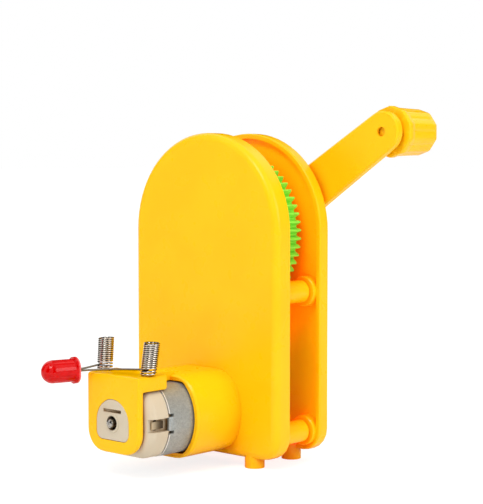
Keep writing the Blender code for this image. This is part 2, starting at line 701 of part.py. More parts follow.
def crank_shaft(parent, finish):
    """The steel shaft through the gear, the rear plate and the arm, drilled at its end for the screw."""
    end = ARM_BACK_Y - SEAT_GAP
    shaft = add_object("crank_shaft", rod(CRANK_SHAFT_RADIUS, BLIND_SKIN + SEAT_GAP, end),
                       parent, finish)
    bore = SCREW_RADIUS + SEAT_GAP
    cut(shaft, rod(bore, end - SCREW_LENGTH - SEAT_GAP, end + OVERRUN, 12))
    return shaft


# Crank arm and knob

def arm_outline(inset=0):
    """Two circles joined by straight sides that touch both, from the hub to the tip."""
    hub = CRANK_HUB_HALF_WIDTH - inset
    tip = CRANK_TIP_RADIUS - inset
    lean = asin((hub - tip) / CRANK_LENGTH)
    side = pi / 2 - lean
    return arc(CRANK_LENGTH, 0, tip, -side, side, 16) + arc(0, 0, hub, side, 2 * pi - side, 16)


def crank_arm(parent, finish):
    """The flat arm, with a boss that stands it off the rear plate and a stepped hole at its tip."""
    rings = [at(arm_outline(CRANK_EDGE), ARM_Y), at(arm_outline(), ARM_Y + CRANK_EDGE),
             at(arm_outline(), ARM_BACK_Y - CRANK_EDGE), at(arm_outline(CRANK_EDGE), ARM_BACK_Y)]
    arm = add_object("crank_arm", turn(loft(rings), -CRANK_TURN, "Y"), parent, finish)
    join(arm, rod(CRANK_BOSS_RADIUS, REAR_BACK_Y + END_PLAY, ARM_Y + CRANK_EDGE))
    bore = CRANK_SHAFT_RADIUS + SEAT_GAP
    cut(arm, rod(bore, REAR_BACK_Y, ARM_BACK_Y + OVERRUN))
    place = (CRANK_LENGTH * cos(CRANK_TURN), 0, CRANK_LENGTH * sin(CRANK_TURN))
    step_y = ARM_BACK_Y - KNOB_PIN_GRIP - SEAT_GAP
    pin_bore = KNOB_PIN_RADIUS + SEAT_GAP
    socket = turned([(TIP_HOLE_RADIUS, ARM_Y - OVERRUN), (TIP_HOLE_RADIUS, step_y),
                     (pin_bore, step_y), (pin_bore, ARM_BACK_Y + OVERRUN)], 20)
    cut(arm, shift(socket, place))
    return arm


def crank_screw(parent, finish):
    """The slotted screw that holds the arm on the shaft."""
    head_y = ARM_BACK_Y + SEAT_GAP
    head_end = head_y + SCREW_HEAD_THICKNESS
    screw = add_object("crank_screw", turned([
        (SCREW_RADIUS, head_y - SCREW_LENGTH),
        (SCREW_RADIUS, head_y),
        (SCREW_HEAD_RADIUS, head_y),
        (SCREW_HEAD_RADIUS, head_end - SMALL_EDGE),
        (SCREW_HEAD_RADIUS - SMALL_EDGE, head_end),
    ], 20), parent, finish)
    slot = SCREW_SLOT_WIDTH / 2
    reach = SCREW_HEAD_RADIUS + OVERRUN
    cut(screw, block((-reach, head_end - SCREW_HEAD_THICKNESS / 2, -slot), (reach, head_end + OVERRUN, slot)))
    return screw


def crank_knob(parent, finish):
    """The faceted grip, with a collar at the arm, a slight taper and a sunk end face for the pin's head."""
    rings = [
        (KNOB_EDGE, KNOB_Y),
        (0, KNOB_Y + KNOB_EDGE),
        (0, KNOB_Y + KNOB_COLLAR_LENGTH - KNOB_EDGE),
        (KNOB_COLLAR_STEP, KNOB_Y + KNOB_COLLAR_LENGTH),
        (KNOB_COLLAR_STEP + KNOB_TAPER, KNOB_END_Y - KNOB_OUTER_CHAMFER),
        (KNOB_COLLAR_STEP + KNOB_TAPER + KNOB_OUTER_CHAMFER, KNOB_END_Y),
    ]
    knob = add_object("crank_knob", loft([at(knob_outline(inset), y) for inset, y in rings]), parent, finish)
    recess = KNOB_PIN_HEAD_RADIUS + RUNNING_GAP
    floor_y = KNOB_END_Y - KNOB_RECESS_DEPTH
    bore = KNOB_PIN_RADIUS + RUNNING_GAP
    end_y = KNOB_END_Y + OVERRUN
    cut(knob, turned([(bore, KNOB_Y - OVERRUN), (bore, floor_y), (recess, floor_y), (recess, end_y)]))
    return knob


def knob_pin(parent, finish):
    """The headed pin pressed into the arm's tip, on which the knob spins."""
    head_y = KNOB_END_Y - KNOB_RECESS_DEPTH + RUNNING_GAP
    head_end = head_y + KNOB_PIN_HEAD_THICKNESS
    return add_object("knob_pin", turned([
        (KNOB_PIN_RADIUS, ARM_BACK_Y - KNOB_PIN_GRIP),
        (KNOB_PIN_RADIUS, head_y),
        (KNOB_PIN_HEAD_RADIUS, head_y),
        (KNOB_PIN_HEAD_RADIUS, head_end - SMALL_EDGE),
        (KNOB_PIN_HEAD_RADIUS - SMALL_EDGE, head_end),
    ]), parent, finish)


# Motor

def tongue_bevel(side):
    """A wedge that slopes the can's tongue down to its end, as if pressed into the cap's side slot."""
    outer = side * (CAN_RADIUS + OVERRUN)
    start = side * CAN_RADIUS
    sunk = side * (CAN_RADIUS - CAN_TONGUE_SINK)
    far_y = SEAM_Y + CAN_RELIEF_DEPTH
    near_y = SEAM_Y - OVERRUN
    profile = [(outer, far_y), (start, far_y), (sunk, SEAM_Y), (sunk, near_y), (outer, near_y)]
    half = (CAN_TONGUE_HALF_HEIGHT + CAN_RELIEF_HALF_HEIGHT) / 2
    return loft([[(x, y, z) for x, y in profile] for z in (-half, half)])


def motor_can(parent, finish):
    """The drawn steel can, open at the cap's end, with a front boss and folded tabs."""
    outer = motor_outline(CAN_RADIUS, CAN_HALF_FLAT, CAN_CORNER)
    inner = motor_outline(CAN_RADIUS - CAN_WALL, CAN_HALF_FLAT - CAN_WALL, CAN_CORNER)
    edge = motor_outline(CAN_RADIUS - SMALL_EDGE, CAN_HALF_FLAT - SMALL_EDGE, CAN_CORNER)
    can = add_object("motor_can",
                     loft([at(outer, SEAM_Y), at(outer, CAN_FACE_Y - SMALL_EDGE), at(edge, CAN_FACE_Y)]),
                     parent, finish)
    join(can, rod(CAN_BOSS_RADIUS, CAN_FACE_Y - OVERRUN, CAN_FACE_Y + CAN_BOSS_LENGTH))
    cut(can, prism(inner, SEAM_Y - OVERRUN, CAN_FACE_Y - CAN_WALL))
    reach = CAN_RADIUS + OVERRUN
    relief_end = SEAM_Y + CAN_RELIEF_DEPTH
    for low_z, high_z in ((-CAN_RELIEF_HALF_HEIGHT, -CAN_TONGUE_HALF_HEIGHT),
                          (CAN_TONGUE_HALF_HEIGHT, CAN_RELIEF_HALF_HEIGHT)):
        cut(can, block((-reach, SEAM_Y - OVERRUN, low_z), (reach, relief_end, high_z)))
    for side in (-1, 1):
        cut(can, tongue_bevel(side))
    bore = MOTOR_SHAFT_RADIUS + RUNNING_GAP + BUSH_WALL + SEAT_GAP
    cut(can, rod(bore, CAN_FACE_Y - CAN_WALL - OVERRUN, CAN_FACE_Y + CAN_BOSS_LENGTH + OVERRUN))
    return can


def motor_end_cap(parent, finish):
    """The nylon cap that closes the can: a rounded cup with a boss, side slots and a spigot."""
    radius = CAN_RADIUS - CAP_INSET
    half_flat = CAN_HALF_FLAT - CAP_INSET
    rings = []
    for i in range(4):
        angle = i / 3 * pi / 2
        inset = CAP_EDGE * (1 - sin(angle))
        outline = motor_outline(radius - inset, half_flat - inset, CAN_CORNER)
        rings.append(at(outline, CAP_END_Y + CAP_EDGE * (1 - cos(angle))))
    rings.append(at(motor_outline(radius, half_flat, CAN_CORNER), CAP_Y))
    cap = add_object("motor_end_cap", loft(rings), parent, finish)
    spigot_inset = CAN_WALL + RUNNING_GAP
    spigot = motor_outline(CAN_RADIUS - spigot_inset, CAN_HALF_FLAT - spigot_inset, CAN_CORNER)
    join(cap, prism(spigot, CAP_Y - OVERRUN, CAP_Y + CAP_SPIGOT_LENGTH))
    boss_end = BRACKET_Y + SMALL_EDGE / 2
    join(cap, prism(window_outline(SEAT_GAP), boss_end, CAP_END_Y + OVERRUN))
    nose_end = boss_end - CAP_NOSE_LENGTH
    join(cap, rod(CAP_NOSE_RADIUS, nose_end, boss_end + OVERRUN))
    cavity_inset = spigot_inset + CAP_SPIGOT_WALL
    cavity = motor_outline(CAN_RADIUS - cavity_inset, CAN_HALF_FLAT - cavity_inset, CAN_CORNER)
    cut(cap, prism(cavity, CAP_END_Y + CAP_WALL, CAP_Y + CAP_SPIGOT_LENGTH + OVERRUN))
    bush_bore = MOTOR_SHAFT_RADIUS + RUNNING_GAP + BUSH_WALL + SEAT_GAP
    step_y = boss_end + CAP_NOSE_LENGTH
    cut(cap, turned([(CAP_NOSE_BORE, nose_end - OVERRUN), (CAP_NOSE_BORE, step_y), (bush_bore, step_y),
                     (bush_bore, CAP_END_Y + CAP_WALL + OVERRUN)]))
    vent = (CAP_VENT_WIDTH / 2, CAP_VENT_HEIGHT / 2)
    cut(cap, block((-vent[0], boss_end - OVERRUN, CAP_VENT_RISE - vent[1]),
                   (vent[0], boss_end + CAP_VENT_DEPTH, CAP_VENT_RISE + vent[1])))
    for side in (-1, 1):
        floor_x = side * (radius - CAP_SLOT_DEPTH)
        outer_x = side * (radius + OVERRUN)
        low_x, high_x = sorted((floor_x, outer_x))
        slot = CAP_SLOT_HALF_HEIGHT
        cut(cap, block((low_x, CAP_END_Y - OVERRUN, -slot), (high_x, CAP_Y + SEAT_GAP / 2, slot)))
        cavity_x = side * (CAN_RADIUS - cavity_inset - OVERRUN)
        entry_x = sorted((cavity_x, floor_x + side * OVERRUN))
        entry = BRUSH_HALF_HEIGHT + SEAT_GAP
        strip = BRUSH_STRIP / 2 + SEAT_GAP
        cut(cap, block((entry_x[0], SPRING_Y - strip, -entry), (entry_x[1], SPRING_Y + strip, entry)))
        hole = turn(rod(TAIL_HOLE_RADIUS, 0, CAN_HALF_FLAT, 12), pi / 2, "X")
        cut(cap, shift(hole, (side * (SPRING_X - SPRING_COIL_RADIUS), SPRING_Y, CAP_VENT_RISE)))
    return cap


def bush(name, start_y, parent, finish):
    """A sintered bearing ring."""
    outer = MOTOR_SHAFT_RADIUS + RUNNING_GAP + BUSH_WALL
    ring = add_object(name, rod(outer, start_y, start_y + BUSH_LENGTH), parent, finish)
    bore = MOTOR_SHAFT_RADIUS + RUNNING_GAP
    cut(ring, rod(bore, start_y - OVERRUN, start_y + BUSH_LENGTH + OVERRUN, 16))
    return ring


def magnet(name, side, parent, finish):
    """A curved ferrite magnet inside the can's round wall."""
    outer = CAN_RADIUS - CAN_WALL - SEAT_GAP
    inner = outer - MAGNET_THICKNESS
    half = asin((CAN_HALF_FLAT - CAN_WALL - SEAT_GAP) / outer) * MAGNET_ARC_SHARE
    middle = 0 if side > 0 else pi
    outline = arc(0, 0, outer, middle - half, middle + half, 10)
    outline += arc(0, 0, inner, middle + half, middle - half, 10)
    middle_y = (SEAM_Y + CAN_FACE_Y) / 2
    solid = prism(outline, middle_y - MAGNET_LENGTH / 2, middle_y + MAGNET_LENGTH / 2)
    return add_object(name, solid, parent, finish)


def core_outline():
    """Three poles with wide shoes on thin necks."""
    points = []
    neck = asin(CORE_NECK_WIDTH / 2 / CORE_HUB_RADIUS)
    shoe_inner = CORE_RADIUS - CORE_SHOE
    neck_outer = asin(CORE_NECK_WIDTH / 2 / shoe_inner)
    shoe = pi / 3 * CORE_ARC_SHARE
    for pole in range(3):
        middle = pi / 2 + pole * 2 * pi / 3
        points += arc(0, 0, CORE_HUB_RADIUS, middle - pi / 3, middle - neck, 3)
        points += [(shoe_inner * cos(middle - neck_outer), shoe_inner * sin(middle - neck_outer))]
        points += arc(0, 0, CORE_RADIUS, middle - shoe, middle + shoe, 10)
        points += [(shoe_inner * cos(middle + neck_outer), shoe_inner * sin(middle + neck_outer))]
        points += arc(0, 0, CORE_HUB_RADIUS, middle + neck, middle + pi / 3, 3)[:-1]
    return points


def armature_core(parent, finish):
    """The stack of three-pole laminations."""
    middle_y = (SEAM_Y + CAN_FACE_Y) / 2
    stack = prism(core_outline(), middle_y - CORE_LENGTH / 2, middle_y + CORE_LENGTH / 2)
    core = add_object("armature_core", stack, parent, finish)
    bore = MOTOR_SHAFT_RADIUS + SEAT_GAP
    reach = CORE_LENGTH / 2 + OVERRUN
    cut(core, rod(bore, middle_y - reach, middle_y + reach, 16))
    return core


def winding(index, parent, finish):
    """One coil of enamelled wire round a pole's neck, as its outer form."""
    middle_y = (SEAM_Y + CAN_FACE_Y) / 2
    inner = (CORE_NECK_WIDTH / 2 + SEAT_GAP, CORE_LENGTH / 2 + SEAT_GAP)
    outer = (inner[0] + WINDING_BUILD, inner[1] + WINDING_BUILD)
    low = CORE_HUB_RADIUS + SEAT_GAP
    high = (CORE_RADIUS - CORE_SHOE) * WINDING_TOP_SHARE
    solid = shift(block((-outer[0], -outer[1], low), (outer[0], outer[1], high)), (0, middle_y, 0))
    coil = add_object(f"winding_{index + 1}", turn(solid, index * 2 * pi / 3, "Y"), parent, finish)
    hole = block((-inner[0], -inner[1], low - OVERRUN), (inner[0], inner[1], high + OVERRUN))
    cut(coil, turn(shift(hole, (0, middle_y, 0)), index * 2 * pi / 3, "Y"))
    return coil


def commutator(parent, finish):
    """The segmented copper drum that the brushes touch."""
    start = CAP_Y - SEAT_GAP
    solid = rod(COMMUTATOR_RADIUS, start, start + COMMUTATOR_LENGTH)
    drum = add_object("commutator", solid, parent, finish)
    bore = MOTOR_SHAFT_RADIUS + SEAT_GAP
    cut(drum, rod(bore, start - OVERRUN, start + COMMUTATOR_LENGTH + OVERRUN, 16))
    return drum


def brush(name, side, parent, finish):
    """A strip: the terminal on the slot's floor, a tab under the spring's tail, and the contact leaf."""
    slot_x = CAN_RADIUS - CAP_INSET - CAP_SLOT_DEPTH + RUNNING_GAP
    leaf_x = COMMUTATOR_RADIUS + SEAT_GAP
    half = BRUSH_STRIP / 2
    y = SPRING_Y
    front_y = y - half - BRUSH_TERMINAL_FRONT
    back_y = y + half + BRUSH_TERMINAL_BACK
    outline = [
        (slot_x + BRUSH_STRIP, front_y),
        (slot_x + BRUSH_STRIP, back_y),
        (slot_x, back_y),
        (slot_x, y + half),
        (leaf_x + BRUSH_STRIP, y + half),
        (leaf_x + BRUSH_STRIP, y + half + BRUSH_REACH),
        (leaf_x, y + half + BRUSH_REACH),
        (leaf_x, y - half),
        (slot_x, y - half),
        (slot_x, front_y),
    ]
    rings = [[(side * px, py, z) for px, py in outline] for z in (-BRUSH_HALF_HEIGHT, BRUSH_HALF_HEIGHT)]
    strip = add_object(name, loft(rings), parent, finish)
    tab_x = SPRING_X - SPRING_COIL_RADIUS
    tab_top = BRACKET_TOP_Z - SPRING_TAIL_LENGTH + SPRING_SEAT_GAP - MOTOR_AXIS_Z - SEAT_GAP
    xs = sorted((side * (tab_x - BRUSH_HALF_HEIGHT), side * (tab_x + BRUSH_HALF_HEIGHT)))
    tab_half = half * BRUSH_TAB_SHARE
    join(strip, block((xs[0], y - tab_half, 0), (xs[1], y + tab_half, tab_top)))
    return strip


def motor_shaft(parent, finish):
    """The steel motor shaft, domed at the end that shows in the window."""
    start = BRACKET_Y - MOTOR_SHAFT_FRONT
    end = PINION_Y + MOTOR_PINION_FACE + END_PLAY
    profile = []
    for i in range(4):
        angle = (i + 1) / 4 * pi / 2
        profile.append((MOTOR_SHAFT_RADIUS * sin(angle), start + MOTOR_SHAFT_DOME * (1 - cos(angle))))
    return add_object("motor_shaft", turned(profile + [(MOTOR_SHAFT_RADIUS, end)], 16), parent, finish)


# Spring clips and light-emitting diode

def leg_entry_angle(side):
    """The direction, seen from above, from which the diode's leg enters a spring."""
    start = leg_start(side)
    bend = start + led_back() * LEG_STRAIGHT
    centre = Vector((side * SPRING_X, SPRING_Y))
    away = bend.xy - centre
    return away.angle_signed(Vector((1, 0)))


def led_back():
    """The unit vector that points out of the diode's flat back."""
    return Vector((sin(LED_TURN), cos(LED_TURN), 0))


def leg_start(side):
    across = Vector((cos(LED_TURN), -sin(LED_TURN), 0))
    back = Vector((LED_BACK_X, LED_BACK_Y, LED_AXIS_Z))
    return back + across * (side * LEG_SPACING / 2) + led_back() * SEAT_GAP


def clip_turn(side):
    """How many turns above the tail a spring opens for the leg."""
    tail_angle = pi if side > 0 else 0
    return ((leg_entry_angle(side) - tail_angle) * side / (2 * pi)) % 1


def spring_rise(turns, opening):
    """Height of the wire's middle above the first curl, with one wider curl from the opening on."""
    return SPRING_PITCH * turns + (SPRING_CLIP_PITCH - SPRING_PITCH) * min(max(turns - opening, 0), 1)


def spring_base_z():
    return BRACKET_TOP_Z + SPRING_SEAT_GAP + SPRING_WIRE_RADIUS


def clip_height(side):
    return spring_base_z() + SPRING_PITCH * clip_turn(side) + SPRING_CLIP_PITCH / 2


def spring_points(side):
    """The tail that runs down through the bracket, then the curls, leaning a little to the right."""
    opening = clip_turn(side)
    turns = (SPRING_HEIGHT - 2 * SPRING_WIRE_RADIUS - (SPRING_CLIP_PITCH - SPRING_PITCH)) / SPRING_PITCH
    tail_angle = pi if side > 0 else 0
    tail_x = side * (SPRING_X - SPRING_COIL_RADIUS)
    points = [Vector((tail_x, SPRING_Y, spring_base_z() - SPRING_TAIL_LENGTH))]
    count = int(floor(turns * CURL_POINTS))
    for i in range(count + 1):
        at_turn = i / CURL_POINTS
        angle = tail_angle + side * 2 * pi * at_turn
        rise = spring_rise(at_turn, opening)
        lean = (SPRING_RIGHT_LEAN if side > 0 else SPRING_LEFT_LEAN) * rise / SPRING_HEIGHT
        points.append(Vector((side * SPRING_X + SPRING_COIL_RADIUS * cos(angle) + lean,
                              SPRING_Y + SPRING_COIL_RADIUS * sin(angle), spring_base_z() + rise)))
    return points


def least_gap(points):
    """The smallest clear distance between curls, measured at the points of the wire's middle line."""
    curls = points[1:]
    gaps = []
    for i, here in enumerate(curls):
        gaps += [(here - there).length for there in curls[i + CURL_POINTS // 2:]]
    return min(gaps) - 2 * SPRING_WIRE_RADIUS


def spring(name, side, parent, finish):
    """A spring clip, wound as one wire."""
    points = spring_points(side)
    print(f"{name}: least gap of the wire to itself {least_gap(points) / MM:.3f} mm")
    return wire(name, points, SPRING_WIRE_RADIUS, parent, finish)


def led_lens(parent, finish):
    """The moulded lens: a domed cylinder with a flange at its back, made along Y, then turned."""
    step_y = -LED_FLANGE_THICKNESS
    profile = [(LED_FLANGE_RADIUS, 0), (LED_FLANGE_RADIUS, step_y), (LED_RADIUS, step_y)]
    dome_y = LED_RADIUS - LED_LENGTH
    for i in range(6):
        angle = i / 6 * pi / 2
        profile.append((LED_RADIUS * cos(angle), dome_y - LED_RADIUS * sin(angle)))
    profile.append((LED_RADIUS * sin(radians(6)), -LED_LENGTH))
    lens = add_object("led_lens", turned(profile, 20), parent, finish)
    flat_x = LED_FLANGE_RADIUS - LED_FLANGE_FLAT
    reach = LED_FLANGE_RADIUS + OVERRUN
    cut(lens, block((flat_x, -LED_FLANGE_THICKNESS - OVERRUN, -reach), (reach, OVERRUN, reach)))
    return lens


def led_leg(name, side, parent, finish):
    """A leg that leaves the lens straight, then runs into the open curl of its spring."""
    start = leg_start(side)
    bend = start + led_back() * LEG_STRAIGHT
    end = Vector((side * SPRING_X, SPRING_Y, clip_height(side)))
    soft = bend.lerp(end, LEG_SOFT_SHARE)
    soft.z = bend.z + (end.z - bend.z) * LEG_RISE_SHARE
    entry = bend.lerp(end, LEG_ENTRY_SHARE)
    entry.z = end.z
    offset = parent.location
    points = [point - offset for point in (start, bend, soft, entry, end)]
    return wire(name, points, LEG_RADIUS, parent, finish)


# Assembly

def right_reach():
    """How far the knob reaches to the right of the plates' middle."""
    knob = max(x for x, z in knob_outline(0))
    return CRANK_LENGTH * cos(CRANK_TURN) + max(knob, CRANK_TIP_RADIUS)


def front_reach():
    """How far the diode's dome reaches in front of the front plate, as a negative depth."""
    return LED_BACK_Y - (LED_LENGTH - LED_RADIUS) * cos(LED_TURN) - LED_RADIUS


def build():
    for leftover in list(bpy.data.objects):
        bpy.data.objects.remove(leftover, do_unlink=True)
    yellow = material("yellow moulding", (0.93, 0.53, 0.02), 0.32)
    green = material("green nylon", (0.12, 0.62, 0.05), 0.35)
    white = material("white nylon", (0.78, 0.74, 0.66), 0.4)
    zinc = material("zinc-plated steel", (0.52, 0.54, 0.53), 0.38, 0.9)
    steel = material("bright steel", (0.62, 0.6, 0.58), 0.22, 1.0)
    bronze = material("sintered bronze", (0.35, 0.24, 0.14), 0.5, 0.9)
    copper = material("copper", (0.62, 0.3, 0.16), 0.35, 1.0)
    ferrite = material("dark ferrite", (0.05, 0.05, 0.055), 0.6)
    red = material("red epoxy", (0.62, 0.01, 0.015), 0.15)

    middle_x = (right_reach() - PLATE_WIDTH / 2) / 2
    middle_y = (KNOB_END_Y + front_reach()) / 2
    frame = axis_empty("generator", (-middle_x, -middle_y, 0))
    crank = axis_empty("crank_axis", (0, 0, CRANK_AXIS_Z), frame)
    knob_place = (CRANK_LENGTH * cos(CRANK_TURN), 0, CRANK_LENGTH * sin(CRANK_TURN))
    knob = axis_empty("knob_axis", knob_place, crank)
    compound = axis_empty("compound_axis", (0, 0, COMPOUND_AXIS_Z), frame)
    motor = axis_empty("motor_axis", (0, 0, MOTOR_AXIS_Z), frame)
    led = axis_empty("led_axis", (LED_BACK_X, LED_BACK_Y, LED_AXIS_Z), frame)

    front_shell(frame, yellow)
    rear_shell(frame, yellow)
    crank_gear(crank, green)
    crank_shaft(crank, steel)
    crank_arm(crank, yellow)
    crank_screw(crank, steel)
    knob_pin(knob, yellow)
    crank_knob(knob, yellow)
    compound_gear(compound, green)
    compound_axle(compound, steel)

    motor_can(motor, zinc)
    motor_end_cap(motor, white)
    bush("front_bush", CAN_FACE_Y + CAN_BOSS_LENGTH - BUSH_LENGTH, motor, bronze)
    bush("rear_bush", BRACKET_Y + CAP_NOSE_LENGTH + 2 * SEAT_GAP, motor, bronze)
    motor_shaft(motor, steel)
    motor_pinion(motor, white)
    armature_core(motor, zinc)
    for index in range(3):
        winding(index, motor, copper)
    commutator(motor, copper)
    for name, side in (("left", -1), ("right", 1)):
        magnet(f"magnet_{name}", side, motor, ferrite)
        brush(f"brush_{name}", side, motor, copper)
        spring(f"spring_{name}", side, frame, steel)
        led_leg(f"led_leg_{name}", side, led, steel)
    lens = led_lens(led, red)
    lens.rotation_euler.z = -LED_TURN

    print(f"origin lies {middle_x / MM:.3f} mm right of and {middle_y / MM:.3f} mm behind the front face")
    print(f"crank axis z {CRANK_AXIS_Z / MM:.3f} mm, compound axis z {COMPOUND_AXIS_Z / MM:.3f} mm")


build()
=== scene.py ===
from math import asin, ceil, cos, pi, radians, sin

import bmesh
import bpy
from mathutils import Matrix, Vector


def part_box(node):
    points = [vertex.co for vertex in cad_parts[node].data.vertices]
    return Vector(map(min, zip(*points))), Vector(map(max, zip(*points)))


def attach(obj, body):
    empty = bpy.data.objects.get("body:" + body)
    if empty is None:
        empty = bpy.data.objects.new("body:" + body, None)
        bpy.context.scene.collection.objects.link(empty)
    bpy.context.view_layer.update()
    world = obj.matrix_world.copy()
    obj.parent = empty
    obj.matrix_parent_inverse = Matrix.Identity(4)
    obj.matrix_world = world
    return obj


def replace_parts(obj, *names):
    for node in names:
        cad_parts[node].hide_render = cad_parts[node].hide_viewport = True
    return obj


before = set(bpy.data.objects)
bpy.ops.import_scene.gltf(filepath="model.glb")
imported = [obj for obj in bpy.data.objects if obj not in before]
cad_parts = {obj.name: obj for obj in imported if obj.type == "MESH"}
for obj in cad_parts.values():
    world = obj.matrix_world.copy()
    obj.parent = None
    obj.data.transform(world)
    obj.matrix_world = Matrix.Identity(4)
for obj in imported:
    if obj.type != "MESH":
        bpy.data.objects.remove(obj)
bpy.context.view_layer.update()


# The small product studio: a wide white table, two round soft boxes, one above in front and one at
# the right, a bright room whose walls have dark gaps that only reflections show, and a long lens
# that is held low at the right front corner.

MM = 0.001
WHITE = (1, 1, 1, 1)
TABLE_SIZE = 6.0
TABLE_WHITE = (0.9, 0.9, 0.9, 1)
TABLE_GLOW_SHARE = 0.65
TABLE_GLOW = 1.25
ROOM_STRENGTH = 0.545
CEILING_STRENGTH = 0.45
CEILING_EDGE = 0.2
WALLS = 5
WALL_EDGES = (-0.4, 0.2)
WALL_GAP = -1.35
# Each soft box's name, place and width in metres, and its power.
SOFT_BOXES = (
    ("soft box above", (0.14, -0.40, 0.54), 0.26, 1.9),
    ("soft box right", (0.56, 0.10, 0.26), 0.34, 1.0),
)
SOFT_BOX_AIM = Vector((0, 0, 35)) * MM
CAMERA_PLACE = Vector((217.156, -234.126, 67.84)) * MM
CAMERA_PITCH = radians(86.32)
CAMERA_YAW = radians(42.27)
CAMERA_LENS = 109.9
SENSOR_WIDTH = 36
NEAREST_SEEN = 10 * MM


class Tone:
    """What a shader works out on one socket: an expression on tones adds its Math nodes."""

    def __init__(self, finish, socket):
        self.finish = finish
        self.socket = socket

    def math(self, operation, first, second=0.0):
        return self.finish.node("ShaderNodeMath", {"operation": operation}, {0: first, 1: second})

    def __add__(self, other):
        return self.math("ADD", self, other)

    def __radd__(self, other):
        return self.math("ADD", other, self)

    def __sub__(self, other):
        return self.math("SUBTRACT", self, other)

    def __rsub__(self, other):
        return self.math("SUBTRACT", other, self)

    def __mul__(self, other):
        return self.math("MULTIPLY", self, other)

    def __rmul__(self, other):
        return self.math("MULTIPLY", other, self)

    def __abs__(self):
        return self.math("ABSOLUTE", self)


class Finish:
    """A node material, or a world's light. Its constants are set on the shader's own sockets."""

    def __init__(self, name, shader="ShaderNodeBsdfPrincipled", constants=None, world=None):
        self.holder = world or bpy.data.materials.new(name)
        self.holder.use_nodes = True
        self.tree = self.holder.node_tree
        self.tree.nodes.clear()
        self.output = self.tree.nodes.new("ShaderNodeOutputWorld" if world else "ShaderNodeOutputMaterial")
        self.shader = self.node(shader, {}, constants or {})
        self.tree.links.new(self.shader.socket, self.output.inputs["Surface"])

    def node(self, kind, settings, inputs, output=0):
        """Adds one node: its settings first, then what its sockets get."""
        node = self.tree.nodes.new(kind)
        for name, value in settings.items():
            setattr(node, name, value)
        for name, value in inputs.items():
            if isinstance(value, Tone):
                self.tree.links.new(value.socket, node.inputs[name])
            else:
                node.inputs[name].default_value = value
        return Tone(self, node.outputs[output])

    def feed(self, name, value):
        self.tree.links.new(value.socket, self.shader.socket.node.inputs[name])

    def place(self):
        """A point's place in the row frame, in metres, which stays with the piece when it moves."""
        return self.node("ShaderNodeTexCoord", {}, {}, "Object")

    def part(self, vector, axis):
        """A vector's X, Y or Z."""
        return self.node("ShaderNodeSeparateXYZ", {}, {0: vector}, axis)

    def noise(self, size, detail=2.0, stretch=(1, 1, 1)):
        """Soft cloudy noise from 0 to 1, with patches of about that size."""
        spread = self.node("ShaderNodeVectorMath", {"operation": "MULTIPLY"}, {0: self.place(), 1: stretch})
        return self.node("ShaderNodeTexNoise", {}, {"Vector": spread, "Scale": 1 / size, "Detail": detail})

    def step(self, value, low, high, out_low=0.0, out_high=1.0):
        """A smooth step: out_low below low, out_high above high."""
        return self.node("ShaderNodeMapRange", {"interpolation_type": "SMOOTHSTEP"}, {
            "Value": value, "From Min": low, "From Max": high, "To Min": out_low, "To Max": out_high})

    def mix(self, share, first, second):
        """A colour between the first, at share 0, and the second, at share 1."""
        return self.node("ShaderNodeMix", {"data_type": "RGBA"}, {0: share, 6: first, 7: second}, 2)

    def bump(self, height, depth):
        """The surface's normal, raised by a height from 0 to 1 over that depth in metres."""
        return self.node("ShaderNodeBump", {}, {"Height": height, "Distance": depth, "Strength": 1.0})


def white_table():
    """The table. Only the camera sees its glow, which makes it white and leaves the object's shadow."""
    grid = bmesh.new()
    bmesh.ops.create_grid(grid, x_segments=2, y_segments=2, size=TABLE_SIZE)
    data = bpy.data.meshes.new("table")
    grid.to_mesh(data)
    grid.free()
    table = bpy.data.objects.new("table", data)
    bpy.context.scene.collection.objects.link(table)
    white = Finish("white sweep", "ShaderNodeBsdfDiffuse", {"Color": TABLE_WHITE})
    seen = white.node("ShaderNodeLightPath", {}, {}, "Is Camera Ray")
    glow = white.node("ShaderNodeEmission", {}, {"Color": WHITE, "Strength": TABLE_GLOW})
    shown = white.node("ShaderNodeMixShader", {}, {0: seen * TABLE_GLOW_SHARE, 1: white.shader, 2: glow})
    white.tree.links.new(shown.socket, white.output.inputs["Surface"])
    data.materials.append(white.holder)


def bright_room():
    """Even light with a brighter ceiling. The camera sees it white, and reflections see its walls."""
    world = bpy.context.scene.world or bpy.data.worlds.new("room")
    bpy.context.scene.world = world
    room = Finish("room", "ShaderNodeBackground", {"Color": WHITE}, world)
    camera_ray = room.node("ShaderNodeLightPath", {}, {}, "Is Camera Ray")
    glossy_ray = room.node("ShaderNodeLightPath", {}, {}, "Is Glossy Ray")
    way = room.node("ShaderNodeTexCoord", {}, {}, "Generated")
    back = room.part(way, "Y")
    turn = back.math("ARCTAN2", back, room.part(way, "X")) * WALLS
    wall_light = room.step(turn.math("SINE", turn), *WALL_EDGES, WALL_GAP, 1.0)
    direct = camera_ray + glossy_ray * wall_light
    ceiling = room.step(room.part(way, "Z"), CEILING_EDGE, 1.0, 0.0, CEILING_STRENGTH)
    room.feed("Strength", direct * (1 - ROOM_STRENGTH) + ROOM_STRENGTH + ceiling)


def soft_boxes():
    for name, place, width, power in SOFT_BOXES:
        lamp = bpy.data.lights.new(name, "AREA")
        lamp.shape = "DISK"
        lamp.size = width
        lamp.energy = power
        holder = bpy.data.objects.new(name, lamp)
        holder.location = place
        holder.rotation_euler = (SOFT_BOX_AIM - holder.location).to_track_quat("-Z", "Y").to_euler()
        bpy.context.scene.collection.objects.link(holder)


